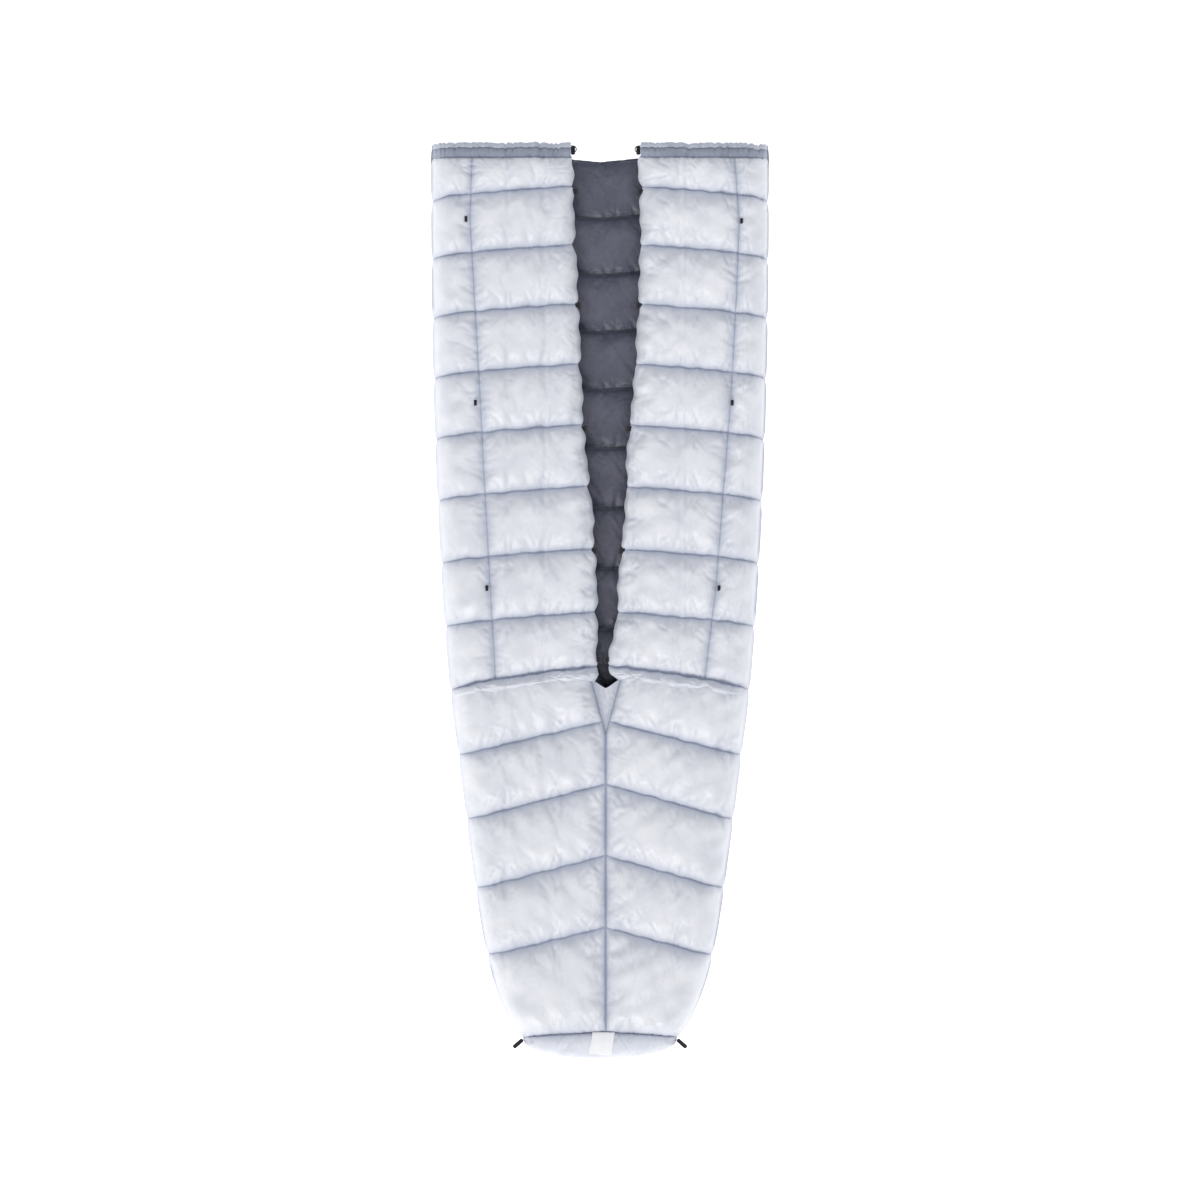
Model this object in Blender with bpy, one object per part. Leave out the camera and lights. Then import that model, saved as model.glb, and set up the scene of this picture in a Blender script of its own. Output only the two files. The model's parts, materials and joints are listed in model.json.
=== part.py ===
"""Down camp quilt lying on its back, front flaps closed, footbox at -Y.

Metres, +Z up, +Y to the head. Every padded panel is three solids: outer shell, down fill and lining.
A panel is a height field: rows of plan points from its chambers' seams, with a lower and an upper height.
"""
import math

import bmesh
import bpy
from mathutils import Matrix, Vector
from mathutils.bvhtree import BVHTree

# ---- driving dimensions ----
OPEN_LENGTH = 1.157          # head edge to the mouth seam, along the side
FOOT_LENGTH = 0.740          # mouth seam to the corner of the foot end, along the side
FOOT_ARC = 0.0313            # how far the foot end bows out past its corners
HEAD_HALF = 0.359            # half width at the head
MOUTH_HALF = 0.3186          # half width at the mouth seam
ANKLE_HALF = 0.2236          # half width that the straight taper of the footbox aims at
TOE_ROUND = 0.060            # what the rounded toe takes off that at each side
EDGE_SHAPE = 2.5             # how late the sides of the open part start to narrow
TOE_SHAPE = 8                # how late the toe starts to round

OPEN_CHAMBERS = 9
FOOT_CHAMBERS = 5
LAST_CHAMBER = 0.182         # the chamber next to the foot end is longer
OPEN_RISE = 0.042            # how far the seams rise from the side to the middle
MOUTH_RISE = 0.055
FOOT_RISE = 0.074
END_RISE = 0.021
BACK_DROP = 0.022            # how far the back's seams fall towards the middle
CROWN_FROM = 0.28            # the flat crown of a chamber, as shares of its length
CROWN_TO = 0.72

BACK_CROWN = 0.046           # top of the back layer
JOIN_Z = 0.046               # height where back and top layer meet at the side
CAVITY = 0.024               # clear height of the body space
TOP_LOFT = 0.048             # thickness of the top layer at a crown
SEAM_DIP = 0.017             # how deep a seam sinks into the outside
LINING_DIP = 0.008           # how deep a seam sinks into the lining
FLOOR_DIP = 0.006            # how far the back's seams lift off the ground
EDGE_ROUND = 0.060           # width over which the side rounds over
FREE_ROUND = 0.040           # width over which a free edge rounds off
TIP = 0.006                  # thickness of a padded layer at its edge

SHEET = 0.0008               # modelled thickness of shell and lining
SLACK = 0.26                 # share of the space left loose above and below the down
GAP = 0.0003                 # clearance between touching pieces
BUTT_GAP = 0.0006            # between panels that meet end to end
ARC_SHARE = 0.96             # how much of the foot end's width its last row keeps
SIDE_STEPS = (0.020, 0.060)  # places of the columns that follow the rounding of the side
NO_EDGE = 1.0                # distance to a free edge where there is none
NARROW_SIDE = (0.30, 0.65)   # shares of a side panel's width that SIDE_STEPS never pass
NARROW_FLAP = (0.25, 0.50)   # the same for a flap's columns along its free edge
EDGE_COLUMN = 0.35           # first column inside a free edge, as a share of FREE_ROUND
FLAP_COLUMN = 0.40           # column between fold line and free edge, where the flap is wide
FLAP_COLUMN_NARROW = 0.25    # and where it is narrower than WIDE_FLAP
WIDE_FLAP = 4 * FREE_ROUND
BACK_COLUMN = 1 / 3          # middle columns of the back, as a share of its half width
END_COLUMNS = (0.80, 0.45)   # columns of the end panel, as shares of its half width
MEET_STEPS = 12              # rounds in which a row's place on a line settles

MIDDLE_X = 0.012             # the opening and the centre seam run here
OPENING_HALF = [(0.0, 0.074), (0.25, 0.071), (0.45, 0.059), (0.68, 0.040), (0.89, 0.023), (1.0, 0.012)]
BACK_HEAD_DROP = 0.034       # how much lower the back's head edge lies in the middle
HINGE_HEAD_MARGIN = 0.018    # from the side to the fold line, at the head
HINGE_FOOT_HALF = 0.034      # from the middle to the fold line, at the mouth
FOLD_GAP = 0.0010            # between the flap and the side panel along the fold line
FOLD_CLEAR = 0.0010          # fold line above the crowns

GUSSET_HALF = 0.030
GUSSET_LENGTH = 0.100
GUSSET_START = 0.6           # how far past the mouth seam it begins, as a share of the way to the crown
GUSSET_STOP = 0.55
GUSSET_THICK = 0.0010
SEAM_WIDTH = 0.003
SEAM_HEIGHT = 0.004

HEM_RADIUS = 0.0065
HEM_WALL = 0.0010
HEM_MOUTH_HALF = math.radians(18)          # half angle of the slit that takes the flap's edge
HEM_STEPS = 8
CORD_STEP = 0.0020
CORD_RADIUS = 0.0010
CORD_LOOP_RADIUS = 0.0070
CORD_STRAIGHT = 0.0047        # from the hem to the bend of the loop

LOOP_LENGTH = 0.012
LOOP_WIDTH = 0.006
LOOP_HEIGHT = 0.0046
WEBBING = 0.0012
LOOP_STEPS = 8
LOOP_PLACES = [(0.163, 0.289), (0.549, 0.270), (0.939, 0.244)]    # from the head edge, from the axis

CLIP_LENGTH = 0.017
CLIP_WIDTH = 0.0085
CLIP_THICK = 0.0024
CLIP_RIM = 0.0026
CLIP_CUT = 0.0015
CLIP_HOLE_CUT = 0.0005
CLIP_STATIONS = [0.103, 0.343, 0.603, 0.860, 1.090]    # from the head edge

NECK_TAB_WIDTH = 0.009
NECK_TAB_LENGTH = 0.018
FOOT_TAB_WIDTH = 0.0085
FOOT_TAB_LENGTH = 0.026
FOOT_TAB_THICK = 0.0024
FOOT_TAB_TURN = math.radians(41)
TAB_CUT = 0.002
BINDING_DEPTH = 0.004
LABEL_WIDTH = 0.050
LABEL_MARGIN = 0.06          # share of each half of the end panel left free above and below it
LABEL_THICK = 0.0006
LABEL_LIFT = 0.0006          # clearance over the curved end panel
LABEL_X = 0.004

# ---- what follows from them ----
LENGTH = OPEN_LENGTH + FOOT_LENGTH + FOOT_ARC
HEAD_Y = LENGTH / 2
MOUTH_Y = HEAD_Y - OPEN_LENGTH
END_Y = MOUTH_Y - FOOT_LENGTH
CAVITY_TOP = BACK_CROWN + CAVITY
TOP_CROWN = CAVITY_TOP + TOP_LOFT
AXIS_Z = TOP_CROWN + FOLD_CLEAR
END_HALF = ANKLE_HALF - TOE_ROUND
CROWNS = (CROWN_FROM, CROWN_TO)
CREST = (0.5,)
HEM_DEPTH = 2 * HEM_RADIUS + GAP
TOP_START = HEAD_Y - HEM_DEPTH

COLOURS = {
    "shell": (0.72, 0.75, 0.82, 0.45, 0.0),
    "lining": (0.10, 0.11, 0.15, 0.50, 0.0),
    "down": (0.86, 0.84, 0.80, 0.95, 0.0),
    "hem": (0.26, 0.30, 0.37, 0.55, 0.0),
    "webbing": (0.010, 0.010, 0.013, 0.70, 0.0),
    "plastic": (0.008, 0.008, 0.010, 0.40, 0.0),
    "cord": (0.012, 0.012, 0.015, 0.80, 0.0),
    "label": (0.90, 0.90, 0.90, 0.60, 0.0),
}


def clear_scene():
    for item in list(bpy.data.objects):
        bpy.data.objects.remove(item, do_unlink=True)


def material(name):
    found = bpy.data.materials.get(name)
    if found:
        return found
    red, green, blue, roughness, metallic = COLOURS[name]
    made = bpy.data.materials.new(name)
    made.use_nodes = True
    shader = made.node_tree.nodes["Principled BSDF"]
    shader.inputs["Base Color"].default_value = (red, green, blue, 1.0)
    shader.inputs["Roughness"].default_value = roughness
    shader.inputs["Metallic"].default_value = metallic
    return made


def add_object(name, mesh, finish, pivot=None):
    """Link a mesh as a node; with a pivot, its origin goes there and its place stays."""
    made = bpy.data.objects.new(name, mesh)
    bpy.context.scene.collection.objects.link(made)
    mesh.materials.append(material(finish))
    if pivot is not None:
        mesh.transform(Matrix.Translation(-Vector(pivot)))
        made.location = pivot
    return made


def lerp(a, b, share):
    return a + (b - a) * share


def ease(share):
    """Quarter circle from 0 at 0 to 1 at 1."""
    share = min(max(share, 0.0), 1.0)
    return math.sqrt(1.0 - (1.0 - share) ** 2)


# ---- plan of the quilt ----
def half_width(y):
    """Distance from the axis to the side at a height y of the plan."""
    if y >= MOUTH_Y:
        share = min(max((HEAD_Y - y) / OPEN_LENGTH, 0.0), 1.0)
        return HEAD_HALF - (HEAD_HALF - MOUTH_HALF) * share ** EDGE_SHAPE
    share = min((MOUTH_Y - y) / FOOT_LENGTH, 1.0)
    return MOUTH_HALF - (MOUTH_HALF - ANKLE_HALF) * share - TOE_ROUND * share ** TOE_SHAPE


def opening_half(y):
    """Half width of the opening between the flaps."""
    share = min(max((HEAD_Y - y) / OPEN_LENGTH, 0.0), 1.0)
    for (s0, w0), (s1, w1) in zip(OPENING_HALF, OPENING_HALF[1:]):
        if share <= s1:
            return lerp(w0, w1, (share - s0) / (s1 - s0))
    return OPENING_HALF[-1][1]


def arc_y(x):
    """Foot end of the plan."""
    share = min(abs(x) / END_HALF, 1.0)
    return END_Y - FOOT_ARC * math.sqrt(1.0 - share * share)


def fold_x(side, y):
    """The straight fold line of a flap, from the side at the head to the mouth."""
    head = side * (half_width(HEAD_Y) - HINGE_HEAD_MARGIN)
    foot = MIDDLE_X + side * HINGE_FOOT_HALF
    return lerp(head, foot, (HEAD_Y - y) / OPEN_LENGTH)


def free_x(side, y):
    return MIDDLE_X + side * opening_half(y)


def gusset_half(y):
    """Half width of the V below the mouth."""
    return GUSSET_HALF * min(max((y - (MOUTH_Y - GUSSET_LENGTH)) / GUSSET_LENGTH, 0.0), 1.0)


def inner_x(side, y):
    """Inner edge of a footbox top: the V, then the centre seam."""
    return MIDDLE_X + side * max(gusset_half(y), SEAM_WIDTH / 2 + GAP)


def chamber_rows(start, seams, rises, crowns, full_at):
    """Rows (y at the side, rise at the middle, wave, share towards the foot arc) down from a first seam.

    The chambers numbered in full_at always have their full crown, because an edge rounds off in them.
    """
    rows = [(start, rises[0], 0.0, 0.0)]
    for index, seam in enumerate(seams):
        above = seams[index - 1] if index else start
        for share in CROWNS if index in full_at else crowns:
            rise = lerp(rises[index], rises[index + 1], share)
            rows.append((lerp(above, seam, share), rise, 1.0, 0.0))
        rows.append((seam, rises[index + 1], 0.0, 0.0))
    return rows


def open_rows(crowns, head_rise, rise, mouth_rise, start=HEAD_Y):
    pitch = OPEN_LENGTH / OPEN_CHAMBERS
    seams = [HEAD_Y - pitch * (n + 1) for n in range(OPEN_CHAMBERS)]
    rises = [head_rise] + [rise] * (OPEN_CHAMBERS - 1) + [mouth_rise]
    return chamber_rows(start, seams, rises, crowns, (0,))


def foot_rows(crowns, mouth_rise, rise, end_rise):
    start = MOUTH_Y - BUTT_GAP
    pitch = (FOOT_LENGTH - LAST_CHAMBER) / (FOOT_CHAMBERS - 1)
    seams = [MOUTH_Y - pitch * (n + 1) for n in range(FOOT_CHAMBERS - 1)] + [END_Y]
    rises = [mouth_rise] + [rise] * (FOOT_CHAMBERS - 1) + [end_rise]
    return chamber_rows(start, seams, rises, crowns, (0, FOOT_CHAMBERS - 1))


def arc_rows(shares, start_rise):
    """Rows from the end seam to the foot arc; the first stands clear of the footbox tops."""
    rows = [(END_Y - BUTT_GAP, start_rise, 0.0, 0.0)]
    return rows + [(END_Y - BUTT_GAP, start_rise, 1.0, share) for share in shares]


def row_y(row, x):
    """A row's place in plan at x: it rises in a straight line from each side to the middle."""
    side_y, rise, _, toward_arc = row
    reach = half_width(side_y) - MIDDLE_X if x > MIDDLE_X else half_width(side_y) + MIDDLE_X
    level = side_y + rise * (1.0 - min(abs(x - MIDDLE_X) / reach, 1.0))
    return lerp(level, arc_y(x), toward_arc)


def row_half(row):
    """Half width of a row; rows close to the foot arc end a little inside its corners."""
    return lerp(half_width(row[0]), ARC_SHARE * END_HALF, row[3])


def meet(row, line):
    """Where a row meets a line given as x of y."""
    x = line(row[0])
    for _ in range(MEET_STEPS):
        x = line(row_y(row, x))
    return x


# ---- heights ----
def side_share(x, y):
    """0 on the side line or the foot arc, 1 where the edge has rounded over."""
    inside = half_width(y) - abs(x)
    if y < END_Y + 2 * EDGE_ROUND:
        inside = min(inside, y - arc_y(x))
    return ease(inside / EDGE_ROUND)


def top_heights(x, y, wave, free):
    """Lining face and outer face of the top layer; free is the distance to a free edge."""
    share = side_share(x, y)
    outer = lerp(JOIN_Z + TIP, TOP_CROWN, share) - SEAM_DIP * (1.0 - wave) * share
    inner = lerp(JOIN_Z + GAP / 2, CAVITY_TOP, share) + LINING_DIP * (1.0 - wave) * share
    middle = (inner + outer) / 2
    half = lerp(TIP / 2, (outer - inner) / 2, ease(free / FREE_ROUND))
    return middle - half, middle + half


def back_heights(x, y, wave, free):
    """Outer face and lining face of the back layer."""
    share = side_share(x, y)
    outer = lerp(JOIN_Z - TIP, 0.0, share) + FLOOR_DIP * (1.0 - wave) * share
    inner = lerp(JOIN_Z - GAP / 2, BACK_CROWN, share) - LINING_DIP * (1.0 - wave) * share
    thick = lerp(TIP, inner - outer, ease(free / FREE_ROUND))
    return outer, outer + thick


def stack(low, high):
    """Split a layer's height into its lower sheet, the down and its upper sheet."""
    room = (high - low) - 2 * (SHEET + GAP)
    loose = SHEET + GAP + SLACK * room
    return (low, low + SHEET), (low + loose, high - loose), (high - SHEET, high)


# ---- mesh makers ----
def grid_solid(name, points, lows, highs, finish, pivot=None):
    """Closed solid over a grid of plan points between two height grids; all grids split the same way."""
    rows = len(points)
    cols = len(points[0])
    mesh_builder = bmesh.new()
    lower = [[mesh_builder.verts.new((*points[r][c], lows[r][c])) for c in range(cols)] for r in range(rows)]
    upper = [[mesh_builder.verts.new((*points[r][c], highs[r][c])) for c in range(cols)] for r in range(rows)]
    for r in range(rows - 1):
        for c in range(cols - 1):
            for grid in (upper, lower):
                mesh_builder.faces.new((grid[r][c], grid[r + 1][c], grid[r + 1][c + 1]))
                mesh_builder.faces.new((grid[r][c], grid[r + 1][c + 1], grid[r][c + 1]))
    rim = [(0, c) for c in range(cols)]
    rim += [(r, cols - 1) for r in range(1, rows)]
    rim += [(rows - 1, c) for c in range(cols - 2, -1, -1)]
    rim += [(r, 0) for r in range(rows - 2, 0, -1)]
    for (r0, c0), (r1, c1) in zip(rim, rim[1:] + rim[:1]):
        mesh_builder.faces.new((lower[r0][c0], lower[r1][c1], upper[r1][c1], upper[r0][c0]))
    return finish_solid(name, mesh_builder, finish, pivot)


def finish_solid(name, mesh_builder, finish, pivot=None):
    """Triangulate, turn the faces outwards and make the node."""
    bmesh.ops.triangulate(mesh_builder, faces=mesh_builder.faces[:])
    bmesh.ops.recalc_face_normals(mesh_builder, faces=mesh_builder.faces[:])
    if mesh_builder.calc_volume(signed=True) < 0:
        bmesh.ops.reverse_faces(mesh_builder, faces=mesh_builder.faces[:])
    mesh = bpy.data.meshes.new(name)
    mesh_builder.to_mesh(mesh)
    mesh_builder.free()
    return add_object(name, mesh, finish, pivot)


def prism(name, outline, low, high, finish, place=None, hole=None, pivot=None):
    """Plate with a plan outline, and a hole with as many corners as the outline if one is given."""
    mesh_builder = bmesh.new()
    rings = []
    for height in (low, high):
        rings.append([mesh_builder.verts.new((x, y, height)) for x, y in outline])
    inner = []
    if hole:
        for height in (low, high):
            inner.append([mesh_builder.verts.new((x, y, height)) for x, y in hole])
    count = len(outline)
    for n in range(count):
        m = (n + 1) % count
        mesh_builder.faces.new((rings[0][n], rings[0][m], rings[1][m], rings[1][n]))
        if hole:
            mesh_builder.faces.new((inner[0][m], inner[0][n], inner[1][n], inner[1][m]))
            mesh_builder.faces.new((rings[1][n], rings[1][m], inner[1][m], inner[1][n]))
            mesh_builder.faces.new((rings[0][m], rings[0][n], inner[0][n], inner[0][m]))
    if not hole:
        mesh_builder.faces.new(rings[1])
        mesh_builder.faces.new(rings[0][::-1])
    if place is not None:
        bmesh.ops.transform(mesh_builder, matrix=place, verts=mesh_builder.verts[:])
    return finish_solid(name, mesh_builder, finish, pivot)


def chamfered(half_x, half_y, cut):
    """Rectangle with cut corners, eight points."""
    return [(half_x, -half_y + cut), (half_x, half_y - cut), (half_x - cut, half_y), (-half_x + cut, half_y),
            (-half_x, half_y - cut), (-half_x, -half_y + cut), (-half_x + cut, -half_y), (half_x - cut, -half_y)]


def layer_set(prefix, rows_fine, rows_coarse, columns, heights, free, finish_up, finish_down, pivot=None):
    """The three solids of one padded panel. The shell takes the fine rows, fill and lining the coarse ones."""
    made = {}
    for part in ("shell", "fill", "lining"):
        rows = rows_fine if part == "shell" else rows_coarse
        points = []
        lows = []
        highs = []
        for row in rows:
            line = []
            low_line = []
            high_line = []
            for x in columns(row):
                y = row_y(row, x)
                low, high = heights(x, y, row[2], free(x, y))
                lower_sheet, down, upper_sheet = stack(low, high)
                outer_sheet = upper_sheet if finish_up == "shell" else lower_sheet
                inner_sheet = lower_sheet if finish_up == "shell" else upper_sheet
                chosen = {"shell": outer_sheet, "fill": down, "lining": inner_sheet}[part]
                line.append((x, y))
                low_line.append(chosen[0])
                high_line.append(chosen[1])
            points.append(line)
            lows.append(low_line)
            highs.append(high_line)
        finish = {"shell": "shell", "fill": "down", "lining": "lining"}[part]
        name = f"{prefix}_{part}"
        made[part] = grid_solid(name, points, lows, highs, finish, pivot)
    return made


# ---- padded panels ----

def back_columns(row):
    half = row_half(row)
    steps = [half, half - SIDE_STEPS[0], half - SIDE_STEPS[1], BACK_COLUMN * half]
    return [-x for x in steps] + steps[::-1]


def back_free(x, y):
    head = HEAD_Y - BACK_HEAD_DROP * (1.0 - abs(x) / HEAD_HALF)
    return max(head - y, 0.0)


def build_back():
    fine = open_rows(CROWNS, -BACK_HEAD_DROP, -BACK_DROP, -BACK_DROP)
    fine += foot_rows(CROWNS, -BACK_DROP, -BACK_DROP, 0.0)[1:]
    fine += arc_rows((1.0,), 0.0)[1:]
    coarse = open_rows(CREST, -BACK_HEAD_DROP, -BACK_DROP, -BACK_DROP)
    coarse += foot_rows(CREST, -BACK_DROP, -BACK_DROP, 0.0)[1:]
    coarse += arc_rows((1.0,), 0.0)[1:]
    return layer_set("back", fine, coarse, back_columns, back_heights, back_free, "lining", "shell")


def side_columns(side):
    def columns(row):
        outer = side * row_half(row)
        inner = meet(row, lambda y: fold_x(side, y)) + side * FOLD_GAP / 2
        width = abs(outer - inner)
        first = min(SIDE_STEPS[0], NARROW_SIDE[0] * width)
        second = min(SIDE_STEPS[1], NARROW_SIDE[1] * width)
        return [outer, outer - side * first, outer - side * second, inner]
    return columns


def flap_columns(side):
    def columns(row):
        outer = meet(row, lambda y: fold_x(side, y)) - side * FOLD_GAP / 2
        inner = meet(row, lambda y: free_x(side, y))
        width = abs(outer - inner)
        first = min(EDGE_COLUMN * FREE_ROUND, NARROW_FLAP[0] * width)
        second = min(FREE_ROUND, NARROW_FLAP[1] * width)
        share = FLAP_COLUMN if width > WIDE_FLAP else FLAP_COLUMN_NARROW
        return [outer, lerp(outer, inner, share), inner + side * second, inner + side * first, inner]
    return columns


def foot_columns(side):
    def columns(row):
        outer = side * row_half(row)
        inner = meet(row, lambda y: inner_x(side, y))
        return [outer, outer - side * SIDE_STEPS[0], outer - side * SIDE_STEPS[1],
                inner + side * FREE_ROUND, inner + side * EDGE_COLUMN * FREE_ROUND, inner]
    return columns


def end_columns(row):
    half = row_half(row)
    label = (LABEL_X - LABEL_WIDTH / 2, MIDDLE_X, LABEL_X + LABEL_WIDTH / 2)
    far, near = (share * half for share in END_COLUMNS)
    return [-half, -far, -near, *label, near, far, half]


def head_free(x, y):
    return max(TOP_START - y, 0.0)


def no_free(x, y):
    return NO_EDGE


def build_tops(side, word):
    """The side panel, the flap and the footbox top of one side."""
    fine = open_rows(CROWNS, 0.0, OPEN_RISE, MOUTH_RISE, TOP_START)
    coarse = open_rows(CREST, 0.0, OPEN_RISE, MOUTH_RISE, TOP_START)
    side_set = layer_set(f"{word}_side", fine, coarse, side_columns(side), top_heights, head_free,
                         "shell", "lining")

    def flap_free(x, y):
        return min(head_free(x, y), abs(x - free_x(side, y)))

    flap_set = layer_set(f"{word}_flap", fine, coarse, flap_columns(side), top_heights, flap_free,
                         "shell", "lining", pivot=fold_pivot(side))

    def seam_free(x, y):
        return abs(x - inner_x(side, y))

    fine = foot_rows(CROWNS, MOUTH_RISE, FOOT_RISE, END_RISE)
    coarse = foot_rows(CREST, MOUTH_RISE, FOOT_RISE, END_RISE)
    layer_set(f"{word}_foot", fine, coarse, foot_columns(side), top_heights, seam_free, "shell", "lining")
    return side_set, flap_set


def fold_pivot(side):
    """A point on the flap's fold line, at the mouth."""
    return (fold_x(side, MOUTH_Y), MOUTH_Y, AXIS_Z)


def build_foot_end():
    rows = arc_rows((0.5, 1.0), END_RISE)
    return layer_set("foot_end", rows, rows, end_columns, top_heights, no_free, "shell", "lining")


# ---- small pieces ----
def inner_points(side, rows):
    """Where the rows of a footbox top meet its inner edge."""
    points = []
    for row in rows:
        x = meet(row, lambda y: inner_x(side, y))
        points.append(Vector((x, row_y(row, x))))
    return points


def build_gusset_and_seam():
    """The V gusset below the mouth, and the seam that closes the footbox, both at half depth of the layer."""
    middle = (CAVITY_TOP + TOP_CROWN) / 2
    rows = foot_rows(CROWNS, MOUTH_RISE, FOOT_RISE, END_RISE)[:5]
    edges = []
    for side in (-1, 1):
        reached = inner_points(side, rows)
        first = reached[0].lerp(reached[1], GUSSET_START)
        last = reached[3].lerp(reached[4], GUSSET_STOP)
        edges.append([first, reached[1], reached[2], reached[3], last])
    points = []
    for left, right in zip(*edges):
        points.append([(left.x + 2 * GAP, left.y), (MIDDLE_X, (left.y + right.y) / 2), (right.x - 2 * GAP, right.y)])
    lows = [[middle - GUSSET_THICK / 2] * 3] * len(points)
    highs = [[middle + GUSSET_THICK / 2] * 3] * len(points)
    grid_solid("mouth_gusset", points, lows, highs, "shell")
    start = row_y(rows[4], MIDDLE_X) - GAP
    end = END_Y + END_RISE + BUTT_GAP
    half = SEAM_WIDTH / 2
    outline = [(MIDDLE_X - half, start), (MIDDLE_X - half, end), (MIDDLE_X + half, end), (MIDDLE_X + half, start)]
    prism("centre_seam", outline, middle - SEAM_HEIGHT / 2, middle + SEAM_HEIGHT / 2, "shell")


def seat_height(shell, x, y):
    """Height of a shell's upper face at a plan point."""
    corners = [vertex.co + Vector(shell.location) for vertex in shell.data.vertices]
    tree = BVHTree.FromPolygons(corners, [tuple(face.vertices) for face in shell.data.polygons])
    hit = tree.ray_cast(Vector((x, y, 1.0)), Vector((0.0, 0.0, -1.0)))[0]
    return hit.z


def build_loop(name, shell, x, y):
    """Webbing loop: a low arch along Y, sewn down at both feet."""
    seat = max(seat_height(shell, x + dx, y + dy)
               for dx in (-LOOP_WIDTH / 2, LOOP_WIDTH / 2) for dy in (-LOOP_LENGTH / 2, 0.0, LOOP_LENGTH / 2))
    mesh_builder = bmesh.new()
    rings = []
    for step in range(LOOP_STEPS + 1):
        angle = math.pi * step / LOOP_STEPS
        ring = []
        for inset in (0.0, WEBBING):
            along = (LOOP_LENGTH / 2 - inset) * math.cos(angle)
            height = (LOOP_HEIGHT - inset) * math.sin(angle)
            for across in (-LOOP_WIDTH / 2, LOOP_WIDTH / 2):
                ring.append(mesh_builder.verts.new((x + across, y + along, seat + GAP + height)))
        rings.append([ring[0], ring[1], ring[3], ring[2]])
    for first, second in zip(rings, rings[1:]):
        for n in range(4):
            m = (n + 1) % 4
            mesh_builder.faces.new((first[n], first[m], second[m], second[n]))
    mesh_builder.faces.new(rings[0])
    mesh_builder.faces.new(rings[-1][::-1])
    return finish_solid(name, mesh_builder, "webbing")


def head_path(side):
    """Centre line of the head hem: along the flap's head edge, from the fold line to the free edge."""
    row = (TOP_START, 0.0, 0.0, 0.0)
    points = []
    for x in flap_columns(side)(row):
        low, high = top_heights(x, TOP_START, 0.0, 0.0)
        points.append(Vector((x, HEAD_Y - HEM_RADIUS, (low + high) / 2)))
    return points


def build_hem(side, word):
    """The drawcord channel: a C section, slit towards the flap, with the drawcord inside."""
    path = head_path(side)
    mesh_builder = bmesh.new()
    rings = []
    for centre in path:
        ring = []
        for radius in (HEM_RADIUS, HEM_RADIUS - HEM_WALL):
            arc = []
            for step in range(HEM_STEPS + 1):
                angle = math.pi + HEM_MOUTH_HALF + (2 * math.pi - 2 * HEM_MOUTH_HALF) * step / HEM_STEPS
                offset = Vector((0.0, radius * math.cos(angle), radius * math.sin(angle)))
                arc.append(mesh_builder.verts.new(centre + offset))
            ring.append(arc)
        rings.append(ring[0] + ring[1][::-1])
    count = len(rings[0])
    for first, second in zip(rings, rings[1:]):
        for n in range(count):
            m = (n + 1) % count
            mesh_builder.faces.new((first[n], first[m], second[m], second[n]))
    for ring in (rings[0], rings[-1]):
        for n in range(HEM_STEPS):
            mesh_builder.faces.new((ring[n], ring[n + 1], ring[count - 2 - n], ring[count - 1 - n]))
    finish_solid(f"{word}_head_hem", mesh_builder, "hem")
    drop = Vector((0.0, 0.0, HEM_RADIUS - HEM_WALL - CORD_RADIUS - GAP))
    hidden = [point + drop for point in path]
    add_cord(f"{word}_hem_cord", hidden)
    return hidden[-1]


def add_cord(name, points):
    """A round cord as a curve object with a bevel."""
    curve = bpy.data.curves.new(name, "CURVE")
    curve.dimensions = "3D"
    curve.bevel_depth = CORD_RADIUS
    curve.bevel_resolution = 2
    curve.use_fill_caps = True
    spline = curve.splines.new("POLY")
    spline.points.add(len(points) - 1)
    for target, point in zip(spline.points, points):
        target.co = (*point, 1.0)
    made = bpy.data.objects.new(name, curve)
    bpy.context.scene.collection.objects.link(made)
    curve.materials.append(material("cord"))
    return made


def build_neck(side, word):
    """Hem, drawcord, the cord's short loop past the hem's end, and the tab below it."""
    exit_point = build_hem(side, word)
    start = exit_point - Vector((side * GAP, 0.0, 0.0))
    points = [start]
    bend = start - Vector((side * CORD_STRAIGHT, CORD_LOOP_RADIUS, 0.0))
    steps = int(math.pi * CORD_LOOP_RADIUS / CORD_STEP) + 1
    for step in range(steps + 1):
        angle = math.pi * step / steps
        offset = Vector((-side * math.sin(angle), math.cos(angle), 0.0)) * CORD_LOOP_RADIUS
        points.append(bend + offset)
    points.append(start - Vector((0.0, 2 * CORD_LOOP_RADIUS, 0.0)))
    add_cord(f"{word}_neck_loop", points)
    edge = free_x(side, TOP_START) - side * GAP
    middle = exit_point.z - (HEM_RADIUS - HEM_WALL - CORD_RADIUS - GAP)
    place = Matrix.Translation((edge - side * NECK_TAB_WIDTH / 2, HEAD_Y - HEM_RADIUS - NECK_TAB_LENGTH / 2, middle))
    prism(f"{word}_neck_tab", chamfered(NECK_TAB_WIDTH / 2, NECK_TAB_LENGTH / 2, TAB_CUT),
          -WEBBING / 2, WEBBING / 2, "webbing", place)


def edge_reach(side, low_y, high_y):
    """How far the flap's free edge reaches towards the middle between two heights of the plan."""
    reach = []
    for crowns in (CROWNS, CREST):
        rows = open_rows(crowns, 0.0, OPEN_RISE, MOUTH_RISE, TOP_START)
        line = []
        for row in rows:
            x = meet(row, lambda y: free_x(side, y))
            line.append((x, row_y(row, x)))
        for (x0, y0), (x1, y1) in zip(line, line[1:]):
            for y in (low_y, high_y):
                if y1 <= y <= y0:
                    reach.append(lerp(x0, x1, (y0 - y) / (y0 - y1)))
            if low_y <= y1 <= high_y:
                reach.append(x1)
    return min(reach) if side > 0 else max(reach)


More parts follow.
